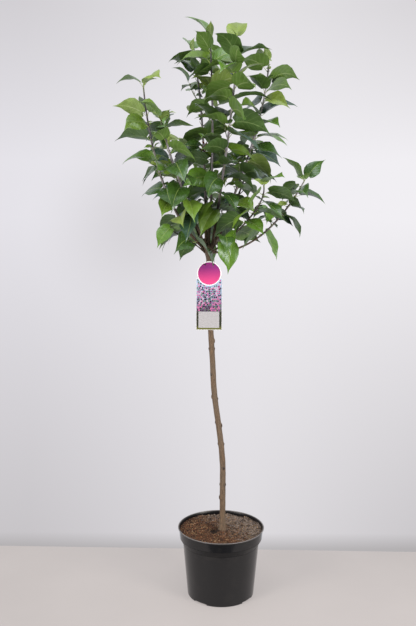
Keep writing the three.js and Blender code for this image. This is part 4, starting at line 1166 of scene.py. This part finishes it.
random = np.random.default_rng(5)
share = np.linspace(0.25, 1, CAPSULES)
turn = 2.4 * np.arange(CAPSULES)
foot = STALK_FOOT + share[:, None] * (STALK_TIP - STALK_FOOT)
lean = direction(turn, random.uniform(0.2, 1.0, CAPSULES))
t = np.linspace(0, 1, 7)
lines = foot[:, None] + lean[:, None] * (t * CAPSULE_LENGTH)[None, :, None]
swollen = CAPSULE_RADIUS * np.clip(np.sin(np.pi * (t - 0.28) / 0.78), 0.16, 1) ** 0.8
capsules = tubes(lines, np.repeat(swollen[None], CAPSULES, 0), 8)
line = STALK_FOOT + np.linspace(-0.15, 1, 9)[:, None] * (STALK_TIP - STALK_FOOT)
stalk = tubes(line[None], np.full((1, 9), STALK_RADIUS), 8)
made = add_mesh("old_flower_stalk", *merged([capsules, stalk]), [husk])
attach(made, "root")


# Leaves. Thin firm hearts with a drawn-out tip on a slender stalk, folded a little along a
# pale midrib: dark and glossy above with arched side veins, paler and dull underneath.

LEAF_U = np.array([0.012, 0.05, 0.12, 0.23, 0.36, 0.5, 0.65, 0.8, 0.92])
LEAF_V = np.array([-1, -0.52, -0.032, 0.032, 0.52, 1])
RIB_COLUMN = 2
RIB_DEPTH = 0.0013
LEAF_THICK = 0.0004
LEAF_FULLNESS = (0.98, 1.15)
VEIN_COUNT = 6.5
STALK_RADII = np.array([0.00125, 0.0009, 0.0008, 0.0008, 0.0006])
# The ages at which one skin follows another, where the oldest leaves are those by the head.
SKIN_AGES, AGE_SPREAD, WAXY_SHARE = [0.05, 0.38, 0.70, 1.02], 0.44, 0.34


def leaf_material(name, colour, vein, roughness, depth, coat=0.12, wax=0.0, veins=0.27):
    """A leaf's skin of one shade. Its side veins are where u - 0.3 |v| passes equal steps and
    its midrib is where v is near 0; they are paler, and the skin swells between them. Veins and
    swelling fade out towards the tip."""
    made, tree, spot = new_material(name)
    axes = add(tree, "SeparateXYZ", {0: spot.node.outputs["UV"]}).node.outputs
    side = add(tree, "Math", {0: axes["X"], 1: 0.5}, operation="SUBTRACT")
    out = add(tree, "Math", {0: side}, operation="ABSOLUTE")
    phase = add(tree, "Math", {0: out, 1: -0.6, 2: axes["Y"]}, operation="MULTIPLY_ADD")
    step = add(tree, "Math", {0: phase, 1: 0.5 / VEIN_COUNT}, operation="PINGPONG")
    fading = add(tree, "MapRange", {0: axes["Y"], 1: 0.6, 2: 0.86, 3: 1.0, 4: 0.0})
    line = add(tree, "MapRange", {0: step, 1: 0.002, 2: 0.009, 3: veins, 4: 0.0})
    line = add(tree, "Math", {0: line, 1: fading}, operation="MULTIPLY")
    rib = add(tree, "MapRange", {0: out, 1: 0.010, 2: 0.026, 3: 0.8, 4: 0.0})
    paler = add(tree, "Math", {0: line, 1: rib}, operation="MAXIMUM")
    mottle = add(tree, "TexNoise", {"Vector": spot, "Scale": 60.0, "Detail": 4.0})
    uneven = add(tree, "MapRange", {0: mottle, 1: 0.3, 2: 0.7, 3: 0.84, 4: 1.14})
    base = add(tree, "VectorMath", {0: linear(colour)[:3], 3: uneven}, operation="SCALE")
    shade = add(tree, "Mix", {0: paler, 6: base, 7: vein}, data_type="RGBA")
    swell = add(tree, "MapRange", {0: step, 1: 0.0, 2: 0.05, 3: 0.0, 4: 1.0})
    swell = add(tree, "Math", {0: swell, 1: fading}, operation="MULTIPLY")
    raised = add(tree, "Bump", {"Height": swell, "Strength": depth, "Distance": 0.0006})
    pores = add(tree, "TexNoise", {"Vector": spot, "Scale": 700.0, "Detail": 1.0})
    raised = add(
        tree, "Bump", {"Height": pores, "Strength": 0.06, "Distance": 0.0003, "Normal": raised}
    )
    dull = {0: mottle, 1: 0.3, 2: 0.7, 3: roughness - 0.05, 4: roughness + 0.07}
    surface(
        tree, Base_Color=shade, Roughness=add(tree, "MapRange", dull), IOR=1.45, Normal=raised,
        Specular_Tint="#dbe8ff", Sheen_Weight=wax, Sheen_Roughness=0.35,
        Sheen_Tint="#c9dcf0", Coat_Weight=coat, Coat_Roughness=0.27,
    )
    return made


def plain_green(name, colour, roughness):
    """The smooth skin of stalks and midribs: one green with faint darker and lighter runs."""
    made, tree, spot = new_material(name)
    run = add(tree, "TexNoise", {"Vector": spot, "Scale": 120.0, "Detail": 2.0})
    uneven = add(tree, "MapRange", {0: run, 1: 0.3, 2: 0.7, 3: 0.85, 4: 1.15})
    base = add(tree, "VectorMath", {0: linear(colour)[:3], 3: uneven}, operation="SCALE")
    surface(tree, Base_Color=base, Roughness=roughness, IOR=1.45)
    return made


# Upper skins have a wax cuticle, so they are glossy; the young ones are yellower and softer.
# Undersides are paler and dull. The order of the upper skins is young, fresh, full, deep and
# bluish, and that of the undersides young, full and deep.
LEAF_SKINS = [
    leaf_material("leaf_upper_young", "#748833", "#a0ae66", 0.36, 0.35),
    leaf_material("leaf_upper_fresh", "#5f7c27", "#93a65a", 0.32, 0.45, 0.26),
    leaf_material("leaf_upper_full", "#527523", "#7a944a", 0.27, 0.5, 0.42),
    leaf_material("leaf_upper_deep", "#38561f", "#617d46", 0.24, 0.5, 0.5),
    leaf_material("leaf_upper_bluish", "#2f4a35", "#5c7558", 0.28, 0.5, 0.4, 0.25),
    leaf_material("leaf_under_young", "#7a9049", "#abb986", 0.4, 0.5, 0.15, veins=0.4),
    leaf_material("leaf_under_full", "#5a7635", "#98aa72", 0.38, 0.6, 0.2, veins=0.4),
    leaf_material("leaf_under_deep", "#435c2b", "#7c915c", 0.36, 0.6, 0.25, veins=0.35),
    plain_green("leaf_midrib", "#778e48", 0.42),
    plain_green("leaf_stalk", "#8a9a50", 0.45),
]
UNDER, MIDRIB, STALK = 5, 8, 9


def leaf_faces():
    """Corner numbers of one leaf: the quads and tips of its upper side, those of its underside,
    and the faces that close its base. The upper side is a grid with a point at its tip. The
    underside shares that outline and has one line of points under the midrib."""
    rows, columns = len(LEAF_U), len(LEAF_V)
    top = np.arange(rows * columns).reshape(rows, columns)
    tip = np.array(top.size)
    keel = tip + 1 + np.arange(rows)
    low = np.stack([top[:, 0], keel, top[:, -1]], 1)
    parts = []
    for grid in (top, low):
        quads = np.stack([grid[:-1, :-1], grid[1:, :-1], grid[1:, 1:], grid[:-1, 1:]], -1)
        ends = grid[-1, :-1], np.broadcast_to(tip, len(grid[0]) - 1), grid[-1, 1:]
        tips = np.stack(ends, -1)
        parts.append((quads.reshape(-1, 4), tips))
    under = tuple(rows[:, ::-1] for rows in parts[1])
    base = np.array([(*top[0, :3], keel[0]), (*top[0, 3:], keel[0])])
    return parts[0], under, base, np.array([(*top[0, 2:4], keel[0])])


def turned_quads(points, quads, up, side):
    """Quads of every leaf, each begun at the corner that makes its diagonal the higher of the
    two on the upper side and the lower on the underside, so the two sides never cross. up has
    a direction for each row of a leaf's quads."""
    corners = points[:, quads]
    bend = corners[:, :, 0] + corners[:, :, 2] - corners[:, :, 1] - corners[:, :, 3]
    up = np.repeat(up, len(quads) // up.shape[1], axis=1)
    wrong = (bend * up).sum(-1) * side < 0
    kept = np.where(wrong[..., None], np.roll(quads, -1, axis=1)[None], quads[None])
    return (kept + points.shape[1] * np.arange(len(points))[:, None, None]).reshape(-1, 4)


def twisted(offset, axis, angle):
    """Offsets d turned about unit axes a by an angle: d cos + (a x d) sin + a (a . d)
    (1 - cos)."""
    cos, sin = np.cos(angle), np.sin(angle)
    share = (offset * axis).sum(-1, keepdims=True)
    return offset * cos + np.cross(axis, offset) * sin + axis * share * (1 - cos)


def leaf_points(leaf):
    """Points of whole leaves. On top of the growth rule's blade, the halves are cushioned
    between midrib and edge, the tip is drawn out and curls, the edge waves, the blade twists
    about its midrib by the square of u, a keel lies below, and leaves high in the crown are
    fuller than those low in it."""
    points = blade_points(leaf, LEAF_U, LEAF_V)
    centre, forward, side, up = blade_frame(leaf, LEAF_U)
    half = (leaf["half"][:, None] * outline(LEAF_U))[:, :, None]
    phase = leaf["wave"][:, None, None] + 2.5 * np.sign(LEAF_V)
    out = np.abs(LEAF_V)
    raised = 0.085 * np.sin(11.0 * LEAF_U[None, :, None] + phase) * out**2
    raised = raised + 0.16 * out * (1 - out)
    points = points + up[:, :, None] * (half * raised)[..., None]
    full = 1 + 0.07 * np.exp(-(((LEAF_U - 0.45) / 0.16) ** 2))
    full -= 0.34 * smoothstep(LEAF_U, 0.6, 0.88)
    offset = (points - centre[:, :, None]) * full[None, :, None, None]
    angle = (leaf["twist"][:, None] * LEAF_U**2)[..., None]
    points = centre[:, :, None] + twisted(offset, forward[:, :, None], angle[..., None])
    up, side = twisted(up, forward, angle), twisted(side, forward, angle)
    length = leaf["length"][:, None]
    tip = blade_frame(leaf, np.array([1.0]))[0][:, 0]
    tip = tip + (0.05 * forward[:, -1] - 0.02 * up[:, -1]) * length
    tip = tip + side[:, -1] * np.sin(leaf["wave"])[:, None] * 0.03 * length
    keel = centre - up * (LEAF_THICK + RIB_DEPTH * (1 - LEAF_U) ** 0.8)[None, :, None]
    points = np.concatenate([points.reshape(len(points), -1, 3), tip[:, None], keel], 1)
    base, fullness = leaf["base"][:, None], lerp(*LEAF_FULLNESS, leaf["high"])[:, None, None]
    return base + (points - base) * fullness, (up[:, :-1] + up[:, 1:]) / 2


def stalk_lines(leaf):
    """Stalks that leave the stem's middle, sag a little, and run on under the blade's base."""
    t = np.linspace(0, 1, 4)[None, :, None]
    root, base = leaf["root"][:, None], leaf["base"][:, None]
    centre, _, _, up = blade_frame(leaf, np.array([0.0, 0.07]))
    knee = (root + base) / 2 + np.array((0, 0, -0.06)) * (leaf["length"] * 0.25)[:, None, None]
    curve = (1 - t) ** 2 * root + 2 * t * (1 - t) * knee + t**2 * base
    curve[:, -1:] -= up[:, :1] * 0.0005
    return np.concatenate([curve, centre[:, 1:] - up[:, 1:] * 0.0009], 1)


random = np.random.default_rng(7)
(top_quads, top_tips), (low_quads, low_tips), base_quads, base_tips = leaf_faces()
ribbed = [
    np.arange(len(rows)) % (len(LEAF_V) - 1) == RIB_COLUMN for rows in (top_quads, top_tips)
]
uv_u = np.concatenate([np.repeat(LEAF_U, len(LEAF_V)), [1.0], LEAF_U])
uv_v = np.concatenate([np.tile(LEAF_V, len(LEAF_U)), np.zeros(1 + len(LEAF_U))])
uv_of_corner = np.stack([0.5 + 0.5 * uv_v, uv_u], -1)
per_leaf = len(uv_u)
for shoot in shoots:
    leaves = stacked(shoot["leaves"])
    count = len(leaves["length"])
    leaves["wave"] = random.random(count) * 2 * np.pi
    leaves["twist"] = 0.9 * np.sin(3 * leaves["wave"])
    spread = random.normal(size=count) * AGE_SPREAD
    age = 1.02 - 0.76 * leaves["high"] - leaves["tint"] + spread
    skin = np.digitize(age, SKIN_AGES)
    waxy = (skin >= 2) & (random.random(count) < WAXY_SHARE)
    waxy &= abs(leaves["high"] - 0.49) < 0.36
    skin = np.where(waxy, 4, np.minimum(skin, 3))
    under = UNDER + np.array([0, 1, 1, 2, 2])[skin]
    points, up = leaf_points(leaves)
    first = per_leaf * np.arange(count)[:, None, None]
    faces = [
        turned_quads(points, top_quads, up, 1), (first + top_tips).reshape(-1, 3),
        turned_quads(points, low_quads, up, -1), (first + low_tips).reshape(-1, 3),
        (first + base_quads).reshape(-1, 4), (first + base_tips).reshape(-1, 3),
    ]
    kinds = [np.where(mark[None], MIDRIB, skin[:, None]).ravel() for mark in ribbed]
    for rows in faces[2:]:
        kinds.append(np.repeat(under, len(rows) // count))
    sides = [np.full(len(rows), number < 2) for number, rows in enumerate(faces)]
    points = points.reshape(-1, 3)
    thick = np.clip(leaves["length"] / LEAF_LENGTH, 0.35, 1.1)[:, None]
    stalks = tubes(stalk_lines(leaves), thick * STALK_RADII, 5)
    kinds += [np.full(len(rows), STALK) for rows in stalks[1]]
    sides += [np.zeros(len(rows)) for rows in stalks[1]]
    all_points, faces = merged([(points, faces), stalks])
    made = add_mesh(
        f"leaves_{shoot['name']}", all_points, faces, LEAF_SKINS,
        np.concatenate(kinds), np.concatenate(sides),
    )
    corners = np.concatenate([rows.ravel() for rows in faces])
    on_blade = corners < len(points)
    layout = np.zeros((len(corners), 2), np.float32)
    layout[on_blade] = uv_of_corner[corners[on_blade] % per_leaf]
    made.data.uv_layers.new(name="blade").data.foreach_set("uv", layout.ravel())
    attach(made, "root")
    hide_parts(f"foliage_{shoot['name']}")


# Tag. A card of white printed plastic, 0.8 mm thick, with a round head. Its print is a plain
# disc in a white ring, an all-over pattern of small four-petalled florets, and a bare panel.

TAG_THICK, TAG_CORNER, TAG_SHOULDER = 0.0008, 0.003, 1.107
TAG_FRONT = TAG_BACK - TAG_THICK
PRINT, PRINT_EDGE, PRINT_DISC = 0.00012, 0.0006, 0.0376
PICTURE_BOTTOM, PICTURE_TOP = 0.9965, 1.1062
PANEL_LEFT, PANEL_RIGHT, PANEL_BOTTOM, PANEL_TOP = -0.0810, -0.0112, 0.9410, 0.9962
FLORET_ROWS, FLORET_COLUMNS = 17, 14
FLORET_ACROSS, FLORET_UP, FLORET_STRAY = 0.0059, 0.0063, 0.0014
PETAL_OUT, PETAL_RADIUS = 0.0016, 0.00155
LEAFLET, LEAFLET_SHARE = (0.0036, 0.0015), 0.14


def printed(name, colour, second=None, low=0.0, high=1.0):
    """Printing ink under a clear satin film. With a second colour it runs from the first at
    the low height to the second at the high one."""
    made, tree, spot = new_material(name)
    fine = add(tree, "TexNoise", {"Vector": spot, "Scale": 1500.0})
    raised = add(tree, "Bump", {"Height": fine, "Strength": 0.05, "Distance": 0.0002})
    base = colour
    if second:
        height = add(tree, "SeparateXYZ", {0: spot}).node.outputs["Z"]
        share = add(tree, "MapRange", {0: height, 1: low, 2: high})
        base = add(tree, "Mix", {0: share, 6: base, 7: second}, data_type="RGBA")
    surface(tree, Base_Color=base, Roughness=0.34, IOR=1.5, Normal=raised)
    return made


def plate(shape, front, thick):
    """A flat plate from an outline of x and z, wound anticlockwise from the front, with its
    front face at y = front. Returns points and faces of both sides and the rim."""
    count = len(shape)
    x, z = np.array(shape, float).T
    points = np.concatenate([np.stack([x, 0 * x + y, z], -1) for y in (front, front + thick)])
    ring = np.arange(count)
    on = (ring + 1) % count
    rim = np.stack([ring, ring + count, on + count, on], -1)
    return points, [ring[None], ring[None, ::-1] + count, rim]


def add_plates(name, shapes, front, thick, materials, kinds=(0,)):
    """Plates as one flat-shaded object. kinds gives each plate its material."""
    parts = [plate(shape, front, thick) for shape in shapes]
    marks = np.repeat(kinds, [2 + len(shape) for shape in shapes])
    made = add_mesh(name, *merged(parts), materials, marks)
    made.data.shade_flat()
    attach(made, "root")
    return made


def arc(centre, radius, start, end, steps):
    """Points of a circle from one angle to another."""
    turn = np.linspace(start, end, steps)
    return np.stack([centre[0] + radius * np.cos(turn), centre[1] + radius * np.sin(turn)], -1)


def circle(centre, radius, sides):
    """The corners of a round plate."""
    return arc(centre, radius, 0, 2 * math.pi, sides + 1)[:-1]


disc_middle = (TAG_X, DISC_HEIGHT)
turn = math.asin((TAG_SHOULDER - DISC_HEIGHT) / DISC_RADIUS)
left, right = TAG_X - TAG_WIDTH / 2, TAG_X + TAG_WIDTH / 2
corner_height = TAG_BOTTOM + TAG_CORNER
white = printed("white_card", "#f3f0f4")
card_outline = np.concatenate([
    arc((left + TAG_CORNER, corner_height), TAG_CORNER, math.pi, 1.5 * math.pi, 6),
    arc((right - TAG_CORNER, corner_height), TAG_CORNER, -math.pi / 2, 0, 6),
    [(right, TAG_SHOULDER)],
    arc(disc_middle, DISC_RADIUS, turn, math.pi - turn, 60),
    [(left, TAG_SHOULDER)],
])
card = add_plates("tag_card", [card_outline], TAG_FRONT, TAG_THICK, [white])
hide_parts("tag")

# The picture's ground runs from plum at its foot to a pale sky blue, and the border is olive.
picture = printed("print_ground", "#4c3d52", "#9bb2cd", 0.99, 1.09)
olive = printed("print_olive", "#6b6d33", "#32342a", TAG_BOTTOM, 0.95)
ground, border, panel = (
    [(west, low), (east, low), (east, high), (west, high)]
    for west, east, low, high in (
        (left + PRINT_EDGE, right - PRINT_EDGE, PICTURE_BOTTOM, PICTURE_TOP),
        (left + PRINT_EDGE, right - PRINT_EDGE, TAG_BOTTOM + 0.001, PICTURE_BOTTOM),
        (PANEL_LEFT, PANEL_RIGHT, PANEL_BOTTOM, PANEL_TOP),
    )
)
add_plates("tag_grounds", [ground, border], TAG_FRONT - PRINT, PRINT, [picture, olive], [0, 1])
pale = printed("print_panel", "#a9a7ab")
add_plates("tag_panel", [panel], TAG_FRONT - 2 * PRINT, PRINT, [pale])
ring = circle(disc_middle, DISC_RADIUS - 0.0001, 64)
add_plates("tag_ring", [ring], TAG_FRONT - 4 * PRINT, 3 * PRINT, [white])
purple = printed("print_disc", "#dc4a86", "#8a2f78", 1.094, 1.144)
disc = circle(disc_middle, PRINT_DISC, 64)
add_plates("tag_disc", [disc], TAG_FRONT - 5 * PRINT, PRINT, [purple])

# Florets are strewn over the picture, each of four round petals in one of four inks, thicker
# and darker towards the foot, with plain oval leaves between them.
FLORET_INKS = ["#cf72a6", "#a65493", "#452744", "#dcb2cf", "#57663a"]
inks = [printed(f"print_floret_{number}", code) for number, code in enumerate(FLORET_INKS)]
random = np.random.default_rng(12)
shapes, kinds = [], []
for row, column in np.ndindex(FLORET_ROWS, FLORET_COLUMNS):
    stray = random.uniform(-FLORET_STRAY, FLORET_STRAY, 2)
    x = left + 0.0045 + FLORET_ACROSS * (column + 0.5 * (row % 2)) + stray[0]
    z = PICTURE_BOTTOM + 0.004 + FLORET_UP * row + stray[1]
    share = (z - 1.0) / 0.105
    first, draw, leafy = random.random(3) * (math.pi, 1, 1)
    most = 1.2 - 0.35 * share
    free = math.dist((x, z), disc_middle) > DISC_RADIUS + 0.0028
    if x > right - 0.0036 or z > 1.1025 or not free or draw > most:
        continue
    if leafy < LEAFLET_SHARE:
        leaf = circle((0, 0), 1, 8) * LEAFLET
        cos, sin = math.cos(first), math.sin(first)
        shapes.append(leaf @ np.array([(cos, sin), (-sin, cos)]) + (x, z))
        kinds.append(4)
        continue
    ink = (2, 1, 0, 3)[np.digitize(draw / most + 0.25 * (share - 0.5), [0.3, 0.45, 0.72])]
    for turn in first + np.arange(4) * math.pi / 2:
        middle = (x + PETAL_OUT * math.cos(turn), z + PETAL_OUT * math.sin(turn))
        shapes.append(circle(middle, PETAL_RADIUS, 7))
        kinds.append(ink)
add_plates("tag_florets", shapes, TAG_FRONT - 2 * PRINT, PRINT, inks, kinds)


# Tie. A black elastic loop round the back of the trunk whose two ends pass through the tag and
# are held in front of it by a small moulded stopper each.

TIE_HEIGHT, TIE_HALF, TIE_DEPTH, TIE_RADIUS = 1.155, 0.0145, 0.0109, 0.0011
KNOB_RADIUS = 0.0028
KNOB_PROFILE = [(0.55, -0.0009), (0.88, -0.0006), (1.0, 0.0), (0.88, 0.0006), (0.55, 0.0009)]

# Elastic cord: rubber in a fine black braid, matt, with a slanting weave.
elastic, tree, spot = new_material("black_elastic")
weave = add(tree, "TexWave", {"Vector": spot, "Scale": 900.0, "Distortion": 2.0})
raised = add(tree, "Bump", {"Height": weave, "Strength": 0.4, "Distance": 0.0002})
tone = add(tree, "Mix", {0: weave, 6: "#161617", 7: "#2b2b2d"}, data_type="RGBA")
surface(tree, Base_Color=tone, Roughness=0.62, Normal=raised)

front = TAG_FRONT - 6 * PRINT - 0.0009
turn = np.pi * (1 - np.linspace(0, 1, 40))
bend = np.stack([TIE_HALF * np.cos(turn), TIE_DEPTH * np.sin(turn), 0.006 * np.sin(turn)], -1)
run_in = np.stack([np.full(8, -TIE_HALF), np.linspace(front, -0.0012, 8), np.zeros(8)], -1)
loop = np.concatenate([run_in, bend, run_in[::-1] * (-1, 1, 1)]) + (TAG_X, 0, TIE_HEIGHT)
parts = [tubes(loop[None], np.full((1, len(loop)), TIE_RADIUS), 12)]
knob = turned(np.array(KNOB_PROFILE) * (KNOB_RADIUS, 1), 20)
knob = np.stack([knob[:, 0], knob[:, 2], -knob[:, 1]], -1)
for side in (-1, 1):
    middle = (TAG_X + side * TIE_HALF, front, TIE_HEIGHT)
    parts.append((knob + middle, ring_faces(1, len(KNOB_PROFILE), 20)))
tie = add_mesh("tag_tie_loop", *merged(parts), [elastic])
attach(tie, "root")
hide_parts("tag_tie")
